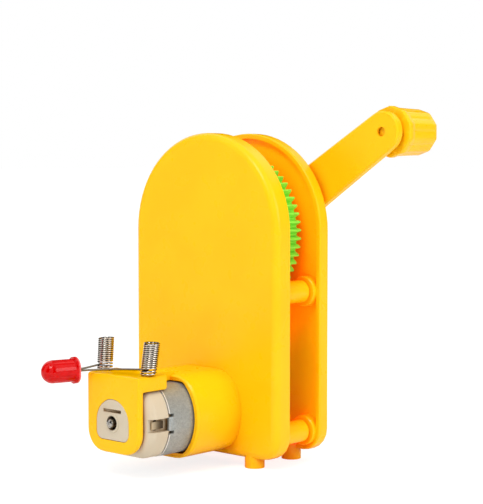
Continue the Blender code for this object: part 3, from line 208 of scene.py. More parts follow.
def low_camera():
    lens = bpy.data.cameras.new("camera")
    lens.sensor_fit = "HORIZONTAL"
    lens.sensor_width = SENSOR_WIDTH
    lens.lens = CAMERA_LENS
    lens.clip_start = NEAREST_SEEN
    camera = bpy.data.objects.new("camera", lens)
    camera.location = CAMERA_PLACE
    camera.rotation_euler = (CAMERA_PITCH, 0, CAMERA_YAW)
    bpy.context.scene.collection.objects.link(camera)
    bpy.context.scene.camera = camera
    bpy.context.scene.view_settings.view_transform = "Standard"


white_table()
bright_room()
soft_boxes()
low_camera()


# The two plates: the front plate with its posts, motor housing and bracket, and the shallow rear
# plate. Each is one injection moulding in warm yellow ABS with a satin gloss, and the posts' spigots
# hold them together.

def tint(red, green, blue):
    """A colour given as it looks, from 0 to 255, as the shader's linear values."""
    parts = [part / 255 for part in (red, green, blue)]
    return tuple(((part + 0.055) / 1.055) ** 2.4 if part > 0.04045 else part / 12.92 for part in parts) + (1,)


# A plastic's tones: its skin, clouds in it, the painted shade of its hollows, the painted deep shade
# where next to no light gets in, and a painted glow for the light that comes through its thin walls.
YELLOW_TONES = (tint(255, 197, 12), tint(255, 193, 8), tint(255, 150, 0), tint(214, 96, 4),
                (0.72, 0.045, 0.0, 1))
YELLOW_GLOSS = 0.28
YELLOW_REACH = 14 * MM
PLASTIC_CLOUD = 14 * MM
PLASTIC_GRAIN = 0.35 * MM
PLASTIC_GRAIN_DEPTH = 0.004 * MM
AIR_SAMPLES = 12
# How open to the air a point is, from 0 to 1, where each painted shade and the painted glow is full and where
# it ends.
HOLLOW_AIR = (0.12, 0.56)
BURIED_AIR = (0.02, 0.14)
THIN_WALL_AIR = (0.3, 0.75)
DEEPEST_AIR = (0.05, 0.4)
DEEPEST_GLOW = 0.2
# How far faces that look down to the table are spared the painted shade.
UNDERSIDE_SLOPE = (-0.7, 0.0)
UNDERSIDE_SHARE = 0.9
BRACKET_REACH = 27.55 * MM
FACE_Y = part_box("front_shell")[0].y + BRACKET_REACH
BACK_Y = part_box("rear_shell")[1].y
PLATE_FLOOR = 1.75 * MM
FEET_TOP = 5 * MM
WELD_REACH = 0.002 * MM
SHARP_ANGLE = radians(30)


def paint(finish, *names):
    """Gives CAD nodes their finish and rounds their shading."""
    for name in names:
        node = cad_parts[name]
        node.data.materials.clear()
        node.data.materials.append(finish.holder)
        normals = node.data.attributes.get("custom_normal")
        if normals:
            node.data.attributes.remove(normals)
        node.data.shade_smooth()
        node.modifiers.new("weld", "WELD").merge_threshold = WELD_REACH
        node.modifiers.new("edges", "EDGE_SPLIT").split_angle = SHARP_ANGLE
        node.modifiers.new("flats", "WEIGHTED_NORMAL").keep_sharp = True


def moulded_plastic(name, tones, reach, gloss):
    """Moulded plastic: faint flow clouds, a fine skin, painted shade in hollows and painted deep shade where
    next to no light gets in. Between the plates it also has a painted glow for the light that thin walls let
    through."""
    light, deep, shade, dark, glow = tones
    plastic = Finish(name, constants={"IOR": 1.5, "Specular IOR Level": 0.18, "Emission Strength": 1.0})
    skin = plastic.mix(plastic.step(plastic.noise(PLASTIC_CLOUD, 3.0), 0.35, 0.65), light, deep)
    open_air = plastic.node("ShaderNodeAmbientOcclusion", {"samples": AIR_SAMPLES}, {"Distance": reach}, "AO")
    facing = plastic.node("ShaderNodeNewGeometry", {}, {}, "Normal")
    underside = plastic.step(plastic.part(facing, "Z"), *UNDERSIDE_SLOPE, UNDERSIDE_SHARE, 0.0)
    # Painted shade: a deeper tone in hollows, kept off faces that look down to the table.
    hollow = plastic.step(open_air, *HOLLOW_AIR, 1.0, 0.0) * (1 - underside)
    # Painted deep shade: a dark tone where next to no light gets in.
    painted_deep_shade = plastic.step(open_air, *BURIED_AIR, 1.0, 0.0)
    plastic.feed("Base Color", plastic.mix(painted_deep_shade, plastic.mix(hollow, skin, shade), dark))
    depth = plastic.part(plastic.place(), "Y")
    behind_front = plastic.step(depth, FACE_Y, FACE_Y + PLATE_FLOOR)
    before_back = plastic.step(depth, BACK_Y - PLATE_FLOOR, BACK_Y, 1.0, 0.0)
    above_feet = plastic.step(plastic.part(plastic.place(), "Z"), FEET_TOP / 2, FEET_TOP)
    # Painted glow: emission for the light that thin walls let through, only between the plates and above the
    # feet.
    thin_wall = plastic.step(open_air, *THIN_WALL_AIR, 1.0, 0.0)
    painted_glow = thin_wall * plastic.step(open_air, *DEEPEST_AIR, DEEPEST_GLOW, 1.0)
    painted_glow = painted_glow * (behind_front * before_back) * above_feet
    plastic.feed("Emission Color", plastic.mix(painted_glow * (1 - painted_deep_shade), (0, 0, 0, 1), glow))
    rub = plastic.noise(PLASTIC_CLOUD / 4, 4.0)
    plastic.feed("Roughness", plastic.step(rub, 0.3, 0.7, gloss - 0.01, gloss + 0.02))
    plastic.feed("Normal", plastic.bump(plastic.noise(PLASTIC_GRAIN, 2.0), PLASTIC_GRAIN_DEPTH))
    return plastic


yellow = moulded_plastic("yellow ABS", YELLOW_TONES, YELLOW_REACH, YELLOW_GLOSS)
paint(yellow, "front_shell", "rear_shell")


# The gears: the crank's wheel and the idler in bright green nylon, and the natural white pinion that
# is pressed onto the motor's shaft, all injection moulded.

# Tones as for the yellow: skin, clouds, painted shade, painted deep shade and painted glow.
GREEN_TONES = (tint(142, 250, 84), tint(132, 230, 66), tint(40, 160, 16), tint(20, 90, 10),
               (0.0, 0.03, 0.0, 1))
GREEN_GLOSS = 0.36
GREEN_REACH = 1.6 * MM
IVORY_TONES = (tint(206, 194, 171), tint(204, 187, 160), tint(164, 128, 82), tint(70, 52, 34),
               (0.02, 0.01, 0.0, 1))
IVORY_GLOSS = 0.42
IVORY_REACH = 7 * MM

green = moulded_plastic("green nylon", GREEN_TONES, GREEN_REACH, GREEN_GLOSS)
paint(green, "crank_gear", "compound_gear")
ivory = moulded_plastic("natural nylon", IVORY_TONES, IVORY_REACH, IVORY_GLOSS)
paint(ivory, "motor_pinion")


# The steel shafts: the turned crank shaft and the screw in its end, the idler's fixed pin and the
# hardened motor shaft, all ground bright.

STEEL = tint(196, 194, 190)
STEEL_DARK = tint(150, 148, 146)
STEEL_ROUGHNESS = 0.24
HARD_STEEL = tint(196, 192, 186)
HARD_STEEL_DARK = tint(120, 116, 110)
HARD_STEEL_ROUGHNESS = 0.14
TOOL_MARKS = 0.25 * MM
TOOL_MARK_DEPTH = 0.002 * MM
ALONG_THE_SHAFT = (1, 0.08, 1)


def ground_metal(name, light, dark, roughness, stretch=(1, 1, 1)):
    """Bright metal with fine tool marks, which stretch draws out along the piece."""
    metal = Finish(name, constants={"Metallic": 1.0})
    marks = metal.noise(TOOL_MARKS, 3.0, stretch)
    metal.feed("Base Color", metal.mix(metal.step(marks, 0.3, 0.75), light, dark))
    metal.feed("Roughness", metal.step(marks, 0.2, 0.8, roughness - 0.06, roughness + 0.1))
    metal.feed("Normal", metal.bump(marks, TOOL_MARK_DEPTH))
    return metal


ground_steel = ground_metal("ground steel", STEEL, STEEL_DARK, STEEL_ROUGHNESS, ALONG_THE_SHAFT)
paint(ground_steel, "crank_shaft", "crank_screw", "compound_axle")
hard_steel = ground_metal("hardened steel", HARD_STEEL, HARD_STEEL_DARK, HARD_STEEL_ROUGHNESS,
                          ALONG_THE_SHAFT)
paint(hard_steel, "motor_shaft")


# The motor's can: deep-drawn steel, zinc plated, with a painted highlight round its mouth except on the
# tongue that holds the end cap, and a sintered bronze bush in each end of the motor.

ZINC = tint(170, 174, 172)
ZINC_DARK = tint(146, 150, 148)
ZINC_RIM_HIGHLIGHT = tint(238, 236, 230)
SPANGLE = 0.3 * MM
DRAWN_MARKS = 0.6 * MM
ZINC_GRAIN_DEPTH = 0.003 * MM
RIM_HIGHLIGHT_WIDTH = 0.26 * MM
TONGUE_HALF = 2.1 * MM
MOTOR_AXIS_Z = 12.1 * MM
BRONZE = tint(96, 78, 54)
BRONZE_DARK = tint(52, 42, 32)
PORES = 0.12 * MM
PORE_DEPTH = 0.02 * MM


def zinc_plate():
    zinc = Finish("zinc plate", constants={"Metallic": 0.55})
    spangle = zinc.noise(SPANGLE, 5.0)
    drawn = zinc.noise(DRAWN_MARKS, 3.0, (1, 0.6, 1))
    plate = zinc.mix(zinc.step(spangle * 0.6 + drawn * 0.4, 0.34, 0.66), ZINC, ZINC_DARK)
    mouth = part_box("motor_can")[0].y
    # A painted highlight in a thin band round the can's mouth, left off the tongue.
    above_axis = zinc.part(zinc.place(), "Z") - MOTOR_AXIS_Z
    off_tongue = zinc.step(abs(above_axis), TONGUE_HALF, TONGUE_HALF + RIM_HIGHLIGHT_WIDTH)
    at_mouth = zinc.step(zinc.part(zinc.place(), "Y"), mouth + RIM_HIGHLIGHT_WIDTH * 0.8, mouth + RIM_HIGHLIGHT_WIDTH, 1.0, 0.0)
    zinc.feed("Base Color", zinc.mix(at_mouth * off_tongue, plate, ZINC_RIM_HIGHLIGHT))
    zinc.feed("Roughness", zinc.step(spangle, 0.3, 0.7, 0.38, 0.52))
    zinc.feed("Normal", zinc.bump(spangle * 0.5 + drawn, ZINC_GRAIN_DEPTH))
    return zinc


def sintered_bronze():
    bronze = Finish("sintered bronze", constants={"Metallic": 0.9})
    pores = bronze.noise(PORES, 3.0)
    bronze.feed("Base Color", bronze.mix(bronze.step(pores, 0.4, 0.62), BRONZE, BRONZE_DARK))
    bronze.feed("Roughness", bronze.step(pores, 0.3, 0.7, 0.4, 0.65))
    bronze.feed("Normal", bronze.bump(pores, PORE_DEPTH))
    return bronze


paint(zinc_plate(), "motor_can")
paint(sintered_bronze(), "front_bush", "rear_bush")


# The motor's inside: three stamped poles of stacked sheet, a coil of enamelled wire on each, the
# copper commutator, a brush of dull brass strip on each side, and two curved ferrite magnets.

COPPER = tint(196, 122, 82)
COPPER_DARK = tint(140, 80, 50)
COPPER_ROUGHNESS = 0.34
ROUND_THE_DRUM = (1, 0.2, 1)
DULL_BRASS = tint(196, 178, 146)
DULL_BRASS_SHADE = tint(76, 62, 44)
TERMINAL_Y = -23.45 * MM
TERMINAL_LENGTH = 3.0 * MM
SHADE_EDGE_PATCH = 0.8 * MM
SHADE_EDGE_DRIFT = 0.4 * MM
SHEET = tint(150, 152, 156)
SHEET_DARK = tint(92, 94, 98)
SHEET_THICKNESS = 0.5 * MM
SHEET_EDGE_DEPTH = 0.03 * MM
ENAMEL = tint(150, 66, 28)
WINDING_WIRE = 0.2 * MM
WINDING_DEPTH = 0.06 * MM
FERRITE = tint(62, 62, 66)
FERRITE_LIGHT = tint(84, 84, 88)
FERRITE_ROUGHNESS = 0.6
WAVE_TURN = 20


def brush_strip():
    """Dull brass with painted shade that darkens it towards the can."""
    brass = Finish("dull brass strip", constants={"Metallic": 0.7})
    # Painted shade: darker along the strip towards the can, with a ragged edge.
    drift = (brass.noise(SHADE_EDGE_PATCH, 3.0) - 0.5) * SHADE_EDGE_DRIFT
    middle = FACE_Y + TERMINAL_Y
    shade_towards_can = brass.step(brass.part(brass.place(), "Y") + drift,
                         middle - TERMINAL_LENGTH / 2, middle + TERMINAL_LENGTH / 2)
    brass.feed("Base Color", brass.mix(shade_towards_can, DULL_BRASS, DULL_BRASS_SHADE))
    brass.feed("Roughness", brass.step(shade_towards_can, 0.0, 1.0, 0.36, 0.5))
    return brass


def banded(name, first, second, spacing, metallic, roughness, depth):
    """A finish in even bands along Y, for stacked sheets and for wire laid in turns. The wave texture
    turns through WAVE_TURN radians in a unit of length at scale 1."""
    bands = Finish(name, constants={"Metallic": metallic})
    scale = 2 * pi / (WAVE_TURN * spacing)
    wave = bands.node("ShaderNodeTexWave", {"bands_direction": "Y"},
                      {"Vector": bands.place(), "Scale": scale, "Distortion": 0.3}, "Fac")
    bands.feed("Base Color", bands.mix(wave, second, first))
    bands.feed("Roughness", bands.step(wave, 0.0, 1.0, roughness + 0.12, roughness))
    bands.feed("Normal", bands.bump(wave, depth))
    return bands


copper = ground_metal("copper strip", COPPER, COPPER_DARK, COPPER_ROUGHNESS, ROUND_THE_DRUM)
paint(copper, "commutator")
paint(brush_strip(), "brush_left", "brush_right")
stacked_sheet = banded("stacked sheet", SHEET, SHEET_DARK, SHEET_THICKNESS, 0.9, 0.42, SHEET_EDGE_DEPTH)
paint(stacked_sheet, "armature_core")
enamelled_wire = banded("enamelled wire", COPPER_DARK, ENAMEL, WINDING_WIRE, 0.8, 0.3, WINDING_DEPTH)
paint(enamelled_wire, "winding_1", "winding_2", "winding_3")
ground_ferrite = ground_metal("ground ferrite", FERRITE, FERRITE_LIGHT, FERRITE_ROUGHNESS)
paint(ground_ferrite, "magnet_left", "magnet_right")


# The motor's end cap: pressed into the can's mouth and moulded in natural nylon, with a boss that
# fills the bracket's window, a vent above the shaft, and a slot on each side for the brush's terminal.

AXIS_X = sum(corner.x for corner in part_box("motor_shaft")) / 2
CAP_RADIUS = 9.9 * MM
CAP_HALF_FLAT = 7.4 * MM
CAP_CORNER = 1.8 * MM
CAP_BACK_Y = -20.62 * MM
CAP_FRONT_Y = -25.6 * MM
CAP_ROUND = 2.0 * MM
CAP_ROUND_STEPS = 8
CAP_WALL = 1.4 * MM
CAVITY_INSET = 2.0 * MM
SPIGOT_INSET = 0.9 * MM
SPIGOT_LENGTH = 1.8 * MM
SIDE_STEPS = 20
BEND_STEPS = 6
WINDOW_HALF_WIDTH = 4.95 * MM
WINDOW_HEIGHT = 8.8 * MM
WINDOW_BASE_Z = -3.75 * MM
WINDOW_CORNER = 1.7 * MM
WINDOW_GAP = 0.07 * MM
WINDOW_FACE_Y = -27.62 * MM
WINDOW_ROUND = 0.22 * MM
WINDOW_ROUND_STEPS = 5
WINDOW_TOP_STEPS = 28
NOSE_RADIUS = 2.05 * MM
NOSE_LENGTH = 0.15 * MM
NOSE_BORE = 1.55 * MM
BUSH_BORE = 2.05 * MM
BUSH_SEAT_Y = -26.75 * MM
VENT_HALF_WIDTH = 2.7 * MM
VENT_HALF_HEIGHT = 0.375 * MM
VENT_RISE = 2.55 * MM
VENT_SHALLOW = 0.5 * MM
VENT_DEEP = 1.7 * MM
SIDE_SLOT_HALF = 1.4 * MM
SIDE_SLOT_DEPTH = 1.5 * MM
TERMINAL_HALF = 1.1 * MM
TERMINAL_GAP = 0.425 * MM
TAIL_HOLE_RADIUS = 0.6 * MM
TAIL_HOLE_X = 5.15 * MM
# How far a cutter, or a part that is joined on, runs past the face that it meets.
BEYOND = 1.0 * MM
PIECE_SHARP_ANGLE = radians(32)


def add_piece(name, mesh, finish, body, sharp_angle=PIECE_SHARP_ANGLE):
    """A new piece from a bmesh: smooth but for its sharp edges, with its finish and body."""
    bmesh.ops.recalc_face_normals(mesh, faces=mesh.faces)
    data = bpy.data.meshes.new(name)
    mesh.to_mesh(data)
    mesh.free()
    data.shade_smooth()
    data.set_sharp_from_angle(angle=sharp_angle)
    piece = bpy.data.objects.new(name, data)
    bpy.context.scene.collection.objects.link(piece)
    data.materials.append(finish.holder)
    piece.modifiers.new("flats", "WEIGHTED_NORMAL").keep_sharp = True
    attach(piece, body)
    return piece


def loft(rings, looped=False):
    """A mesh through rings of as many points each, closed at its ends, or joined up end to end."""
    mesh = bmesh.new()
    loops = [[mesh.verts.new(point) for point in ring] for ring in rings]
    following = loops[1:] + loops[:1] if looped else loops[1:]
    for first, second in zip(loops, following):
        for i in range(len(first)):
            j = (i + 1) % len(first)
            mesh.faces.new((first[i], first[j], second[j], second[i]))
    if not looped:
        mesh.faces.new(loops[0])
        mesh.faces.new(reversed(loops[-1]))
    return mesh


def from_face(point):
    """A point measured from the plates' middle line, the front face and the table, in the row frame."""
    return Vector((point[0] + AXIS_X, point[1] + FACE_Y, point[2]))


def round_the_motor(outline, y):
    """An outline about the motor's axis, at a distance y from the front face."""
    return [from_face((x, y, z + MOTOR_AXIS_Z)) for x, z in outline]


def arc(centre_x, centre_z, radius, start, end, steps):
    angles = [start + (end - start) * i / steps for i in range(steps + 1)]
    return [(centre_x + radius * cos(angle), centre_z + radius * sin(angle)) for angle in angles]


def circle(radius, steps=32):
    return arc(0, 0, radius, 0, 2 * pi, steps)[:-1]


def can_outline(inset):
    """A circle with a flat above and below, soft corners where they meet, and all drawn in by inset."""
    radius, half_flat = CAP_RADIUS - inset, CAP_HALF_FLAT - inset
    reach = asin(half_flat / radius)
    soft = reach - CAP_CORNER / radius
    side = arc(0, 0, radius, -soft, soft, SIDE_STEPS)
    corner_x = radius * cos(reach)
    start, corner, end = side[-1], (corner_x, half_flat), (corner_x - CAP_CORNER, half_flat)
    bend = []
    for i in range(1, BEND_STEPS + 1):
        t = i / BEND_STEPS
        shares = ((1 - t) ** 2, 2 * t * (1 - t), t * t)
        bend.append(tuple(shares[0] * start[k] + shares[1] * corner[k] + shares[2] * end[k] for k in (0, 1)))
    right = side + bend
    left = [(-x, z) for x, z in reversed(right)]
    lower_left = [(-x, -z) for x, z in bend]
    lower_right = [(x, -z) for x, z in reversed(bend)]
    return right + left + lower_left + lower_right


def window_outline(inset):
    """A round top on straight sides, flat at the foot, and all drawn in by inset."""
    half = WINDOW_HALF_WIDTH - inset
    corner = WINDOW_CORNER - inset / 2
    base = WINDOW_BASE_Z + inset
    spring_z = WINDOW_BASE_Z + WINDOW_HEIGHT - WINDOW_HALF_WIDTH
    right = arc(half - corner, base + corner, corner, -pi / 2, 0, BEND_STEPS)
    left = arc(corner - half, base + corner, corner, pi, 3 * pi / 2, BEND_STEPS)
    return right + arc(0, spring_z, half, 0, pi, WINDOW_TOP_STEPS) + left


def boss_outline(inset):
    return window_outline(WINDOW_GAP + inset)


def rounded_edge(outline_at, face_y, radius, steps):
    """Rings that round off the edge between a face and the sides behind it."""
    angles = [pi / 2 * i / steps for i in range(steps + 1)]
    return [round_the_motor(outline_at(radius * (1 - sin(angle))), face_y + radius * (1 - cos(angle)))
            for angle in angles]


def prism(outline, start_y, end_y):
    return loft([round_the_motor(outline, start_y), round_the_motor(outline, end_y)])


def pocket(profile, low_z, high_z):
    """A cutter with a profile of points (x, y), from one height to another."""
    return loft([[from_face((x, y, z + MOTOR_AXIS_Z)) for x, y in profile] for z in (low_z, high_z)])


def rectangle(x, y, far_x, far_y):
    return [(x, y), (far_x, y), (far_x, far_y), (x, far_y)]


def carve(mesh, steps):
    """The mesh after steps of joining and cutting with other meshes."""
    stock = []
    for part in [mesh] + [tool for _, tool in steps]:
        bmesh.ops.recalc_face_normals(part, faces=part.faces)
        data = bpy.data.meshes.new("stock")
        part.to_mesh(data)
        part.free()
        stock.append(bpy.data.objects.new("stock", data))
        bpy.context.scene.collection.objects.link(stock[-1])
    for (operation, _), tool in zip(steps, stock[1:]):
        step = stock[0].modifiers.new("step", "BOOLEAN")
        step.operation = operation
        step.solver = "EXACT"
        step.object = tool
    made = bmesh.new()
    made.from_mesh(stock[0].evaluated_get(bpy.context.evaluated_depsgraph_get()).to_mesh())
    for part in stock:
        bpy.data.objects.remove(part)
    bmesh.ops.remove_doubles(made, verts=made.verts, dist=WELD_REACH)
    return made


def cap_mesh():
    shell = rounded_edge(can_outline, CAP_FRONT_Y, CAP_ROUND, CAP_ROUND_STEPS)
    shell.append(round_the_motor(can_outline(0), CAP_BACK_Y))
    boss = rounded_edge(boss_outline, WINDOW_FACE_Y, WINDOW_ROUND, WINDOW_ROUND_STEPS)
    boss.append(round_the_motor(boss_outline(0), CAP_FRONT_Y + BEYOND))
    nose_y = WINDOW_FACE_Y - NOSE_LENGTH
    nose = [round_the_motor(circle(NOSE_RADIUS - NOSE_LENGTH * 0.6), nose_y),
            round_the_motor(circle(NOSE_RADIUS - NOSE_LENGTH * 0.15), nose_y + NOSE_LENGTH * 0.25),
            round_the_motor(circle(NOSE_RADIUS), WINDOW_FACE_Y),
            round_the_motor(circle(NOSE_RADIUS), WINDOW_FACE_Y + BEYOND)]
    vent = [(-VENT_HALF_WIDTH, WINDOW_FACE_Y - BEYOND), (VENT_HALF_WIDTH, WINDOW_FACE_Y - BEYOND),
            (VENT_HALF_WIDTH, WINDOW_FACE_Y + VENT_DEEP), (-VENT_HALF_WIDTH, WINDOW_FACE_Y + VENT_SHALLOW)]
    inside_y = CAP_FRONT_Y + CAP_WALL
    end_y = CAP_BACK_Y + SPIGOT_LENGTH
    steps = [
        ("UNION", prism(can_outline(SPIGOT_INSET), CAP_BACK_Y - BEYOND, end_y)),
        ("UNION", loft(boss)),
        ("UNION", loft(nose)),
        ("DIFFERENCE", prism(can_outline(CAVITY_INSET), inside_y, end_y + BEYOND)),
        ("DIFFERENCE", prism(circle(NOSE_BORE), nose_y - BEYOND, WINDOW_FACE_Y + BEYOND)),
        ("DIFFERENCE", prism(circle(BUSH_BORE), BUSH_SEAT_Y, inside_y + BEYOND)),
        ("DIFFERENCE", pocket(vent, VENT_RISE - VENT_HALF_HEIGHT, VENT_RISE + VENT_HALF_HEIGHT)),
    ]
    floor_x = CAP_RADIUS - SIDE_SLOT_DEPTH
    for side in (-1, 1):
        slot = rectangle(side * floor_x, CAP_FRONT_Y - BEYOND,
                         side * (CAP_RADIUS + BEYOND), CAP_BACK_Y + BEYOND)
        steps.append(("DIFFERENCE", pocket(slot, -SIDE_SLOT_HALF, SIDE_SLOT_HALF)))
        entry = rectangle(side * (CAP_RADIUS - CAVITY_INSET - BEYOND), TERMINAL_Y - TERMINAL_GAP,
                          side * (floor_x + BEYOND), TERMINAL_Y + TERMINAL_GAP)
        steps.append(("DIFFERENCE", pocket(entry, -TERMINAL_HALF, TERMINAL_HALF)))
        hole = [(side * TAIL_HOLE_X + x, TERMINAL_Y + y) for x, y in circle(TAIL_HOLE_RADIUS, 16)]
        steps.append(("DIFFERENCE", pocket(hole, 0, CAP_HALF_FLAT + BEYOND)))
    return carve(loft(shell), steps)


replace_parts(add_piece("motor_cap", cap_mesh(), ivory, "stator"), "motor_end_cap")


# The crank's arm and knob: a flat arm moulded in the same yellow, a headed pin in the hole at its tip,
# and the grip that spins on it, which has ten sides with a shallow flute down each, soft corners, a
# collar at the arm and a sunk end for the head of the pin.

KNOB_REACH = 1.6 * MM
KNOB_SIDES = 10
KNOB_APOTHEM = 5.4 * MM
KNOB_CORNER_RADIUS = 5.6 * MM
KNOB_STEP = 0.3 * MM
KNOB_COLLAR = 1.9 * MM
KNOB_TAPER = 0.2 * MM
KNOB_CHAMFER = 0.7 * MM
KNOB_ROUND = 0.35 * MM
KNOB_RECESS_DEPTH = 2.0 * MM
KNOB_RECESS_RADIUS = 2.85 * MM
KNOB_BORE = 1.65 * MM
FLUTE_DEPTH = 0.13 * MM
FLUTE_SHARE = 0.3
KNOB_SIDE_STEPS = 16


def knob_ring(inset, flute):
    """Distances from the knob's axis round one turn: ten flats with soft corners and a flute in each."""
    flat = 2 * pi / KNOB_SIDES
    points = []
    for i in range(KNOB_SIDES * KNOB_SIDE_STEPS):
        off_middle = ((i / KNOB_SIDE_STEPS + 0.5) % 1 - 0.5) * flat
        radius = min((KNOB_APOTHEM - inset) / cos(off_middle), KNOB_CORNER_RADIUS - inset)
        fluted = abs(off_middle) < flat / 2 * FLUTE_SHARE
        hollow = max(cos(pi * off_middle / (flat * FLUTE_SHARE)), 0) if fluted else 0
        points.append((radius - flute * hollow, i / KNOB_SIDE_STEPS * flat))
    return points


def knob_mesh():
    """The outside from the arm to the end, then the recess and the bore back to the arm. Each ring of
    the outside says how far it is drawn in, how much of the flutes it has, and where it lies."""
    low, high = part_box("crank_knob")
    middle = (low + high) / 2
    start, end = low.y, high.y
    collar = start + KNOB_COLLAR
    body = KNOB_STEP + KNOB_TAPER
    outside = (
        (KNOB_ROUND, 0, start),
        (KNOB_ROUND * 0.3, 0, start + KNOB_ROUND * 0.3),
        (0, 0, start + KNOB_ROUND),
        (0, 0, collar - KNOB_ROUND),
        (KNOB_STEP * 0.4, 0, collar - KNOB_ROUND * 0.3),
        (KNOB_STEP, 0.4, collar + KNOB_ROUND * 0.5),
        (KNOB_STEP + KNOB_TAPER * 0.1, 1, collar + KNOB_ROUND * 2.5),
        (body, 1, end - KNOB_CHAMFER * 3),
        (body, 0, end - KNOB_CHAMFER * 1.2),
        (body + KNOB_CHAMFER * 0.15, 0, end - KNOB_CHAMFER * 0.8),
        (body + KNOB_CHAMFER * 0.85, 0, end - KNOB_CHAMFER * 0.12),
        (body + KNOB_CHAMFER * 1.3, 0, end),
    )
    hole = (
        (KNOB_RECESS_RADIUS, end),
        (KNOB_RECESS_RADIUS, end - KNOB_RECESS_DEPTH),
        (KNOB_BORE, end - KNOB_RECESS_DEPTH),
        (KNOB_BORE, start),
    )
    turns = [(knob_ring(inset, flute * FLUTE_DEPTH), y) for inset, flute, y in outside]
    turns += [([(radius, angle) for _, angle in knob_ring(0, 0)], y) for radius, y in hole]
    return loft([[Vector((middle.x + radius * cos(angle), y, middle.z + radius * sin(angle)))
                  for radius, angle in turn] for turn, y in turns], looped=True)


paint(yellow, "crank_arm", "knob_pin")
grip = moulded_plastic("knob ABS", YELLOW_TONES, KNOB_REACH, YELLOW_GLOSS)
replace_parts(add_piece("knob_grip", knob_mesh(), grip, "knob"), "crank_knob")


# The two spring clips, each wound close from one length of bright wire, whose tail drops through
# the bracket to the brush's strip. One curl is pulled open by the diode's lead that it holds.

BRACKET_TOP_Z = 22.3 * MM
SPRING_X = 6.7 * MM
SPRING_Y = -23.45 * MM
COIL_RADIUS = 1.55 * MM
WIRE_RADIUS = 0.185 * MM
WIRE_SIDES = 12
COIL_PITCH = 0.41 * MM
CLIP_OPENING = 0.46 * MM
COIL_BASE_Z = BRACKET_TOP_Z + 0.35 * MM
COIL_TOP_Z = BRACKET_TOP_Z + 7.05 * MM
# By side, left and right: how far the coil's top leans to the right, and where its tail comes in.
COIL_LEANS = {-1: 0.5 * MM, 1: 1.15 * MM}
TAIL_ANGLES = {-1: 0, 1: pi}
COIL_STEPS = 28
TAIL_END_Z = COIL_BASE_Z - 5.35 * MM
TAIL_STEPS = 6
LED_BACK = Vector((-8.25, -30.2, 22.8)) * MM
LED_TURN = radians(17.5)
LED_ALONG = Vector((sin(LED_TURN), cos(LED_TURN), 0))
LED_ACROSS = Vector((cos(LED_TURN), -sin(LED_TURN), 0))
LEAD_SPACING = 2.54 * MM
LEAD_STRAIGHT = 1.4 * MM
SPRING_HIGHLIGHT = tint(236, 226, 212)
SPRING_SHADE = tint(30, 20, 14)
WIRE_MARKS = 0.2 * MM
WIRE_SHARP_ANGLE = radians(50)


def tube(points, radius, sides):
    """A closed tube along points, carried without twist."""
    tangents = []
    for i in range(len(points)):
        ahead = points[min(i + 1, len(points) - 1)]
        behind = points[max(i - 1, 0)]
        tangents.append((ahead - behind).normalized())
    normal = tangents[0].orthogonal().normalized()
    rings = []
    for point, tangent in zip(points, tangents):
        normal = (normal - tangent * normal.dot(tangent)).normalized()
        across = tangent.cross(normal)
        angles = [2 * pi * (side + 0.5) / sides for side in range(sides)]
        rings.append([point + (normal * cos(angle) + across * sin(angle)) * radius for angle in angles])
    return loft(rings)


def lead_at(side, behind):
    """A point on a lead's straight part, at that distance behind the lens."""
    return LED_BACK + LED_ACROSS * (side * LEAD_SPACING / 2) + LED_ALONG * behind


def opened_at(side):
    """The turn, counted from the tail, at which the clip opens for the lead: in its second curl."""
    away = lead_at(side, LEAD_STRAIGHT).xy - Vector((side * SPRING_X, SPRING_Y))
    entry = away.angle_signed(Vector((1, 0)))
    return ((entry - TAIL_ANGLES[side]) * side / (2 * pi)) % 1 + 1


def coil_rise(turns, opening):
    return COIL_PITCH * turns + CLIP_OPENING * min(max(turns - opening, 0), 1)


def clip_height(side):
    """The height of the lead's middle in the open curl."""
    below = COIL_BASE_Z + COIL_PITCH * (opened_at(side) - 0.5)
    return below + (COIL_PITCH + CLIP_OPENING) / 2 + 0.5 * COIL_PITCH


def coil_points(side):
    """The wire's middle line, from the foot of its tail to the top of the coil, which leans right."""
    opening = opened_at(side)
    turns = (COIL_TOP_Z - COIL_BASE_Z - CLIP_OPENING) / COIL_PITCH
    tail_x = side * (SPRING_X - COIL_RADIUS)
    points = [Vector((tail_x, SPRING_Y, TAIL_END_Z + (COIL_BASE_Z - TAIL_END_Z) * i / TAIL_STEPS))
              for i in range(TAIL_STEPS)]
    for i in range(ceil(turns * COIL_STEPS)):
        turn = i / COIL_STEPS
        angle = TAIL_ANGLES[side] + side * 2 * pi * turn
        rise = coil_rise(turn, opening)
        lean = COIL_LEANS[side] * rise / (COIL_TOP_Z - COIL_BASE_Z)
        points.append(Vector((side * SPRING_X + COIL_RADIUS * cos(angle) + lean,
                              SPRING_Y + COIL_RADIUS * sin(angle), COIL_BASE_Z + rise)))
    return points


def coil_mesh(side):
    """The wire, with how far each point faces out of the coil, from 1 to -1, and 0 between two curls."""
    points = [from_face(point) for point in coil_points(side)]
    mesh = tube(points, WIRE_RADIUS, WIRE_SIDES)
    outward = mesh.verts.layers.float.new("outward")
    mesh.verts.ensure_lookup_table()
    base = from_face((side * SPRING_X, SPRING_Y, COIL_BASE_Z))
    for i, point in enumerate(points):
        lean = COIL_LEANS[side] * max(point.z - base.z, 0) / (COIL_TOP_Z - COIL_BASE_Z)
        away = (point - base - Vector((lean, 0, point.z - base.z))).normalized()
        for vert in mesh.verts[i * WIRE_SIDES:(i + 1) * WIRE_SIDES]:
            vert[outward] = (vert.co - point).dot(away) / WIRE_RADIUS
    return mesh


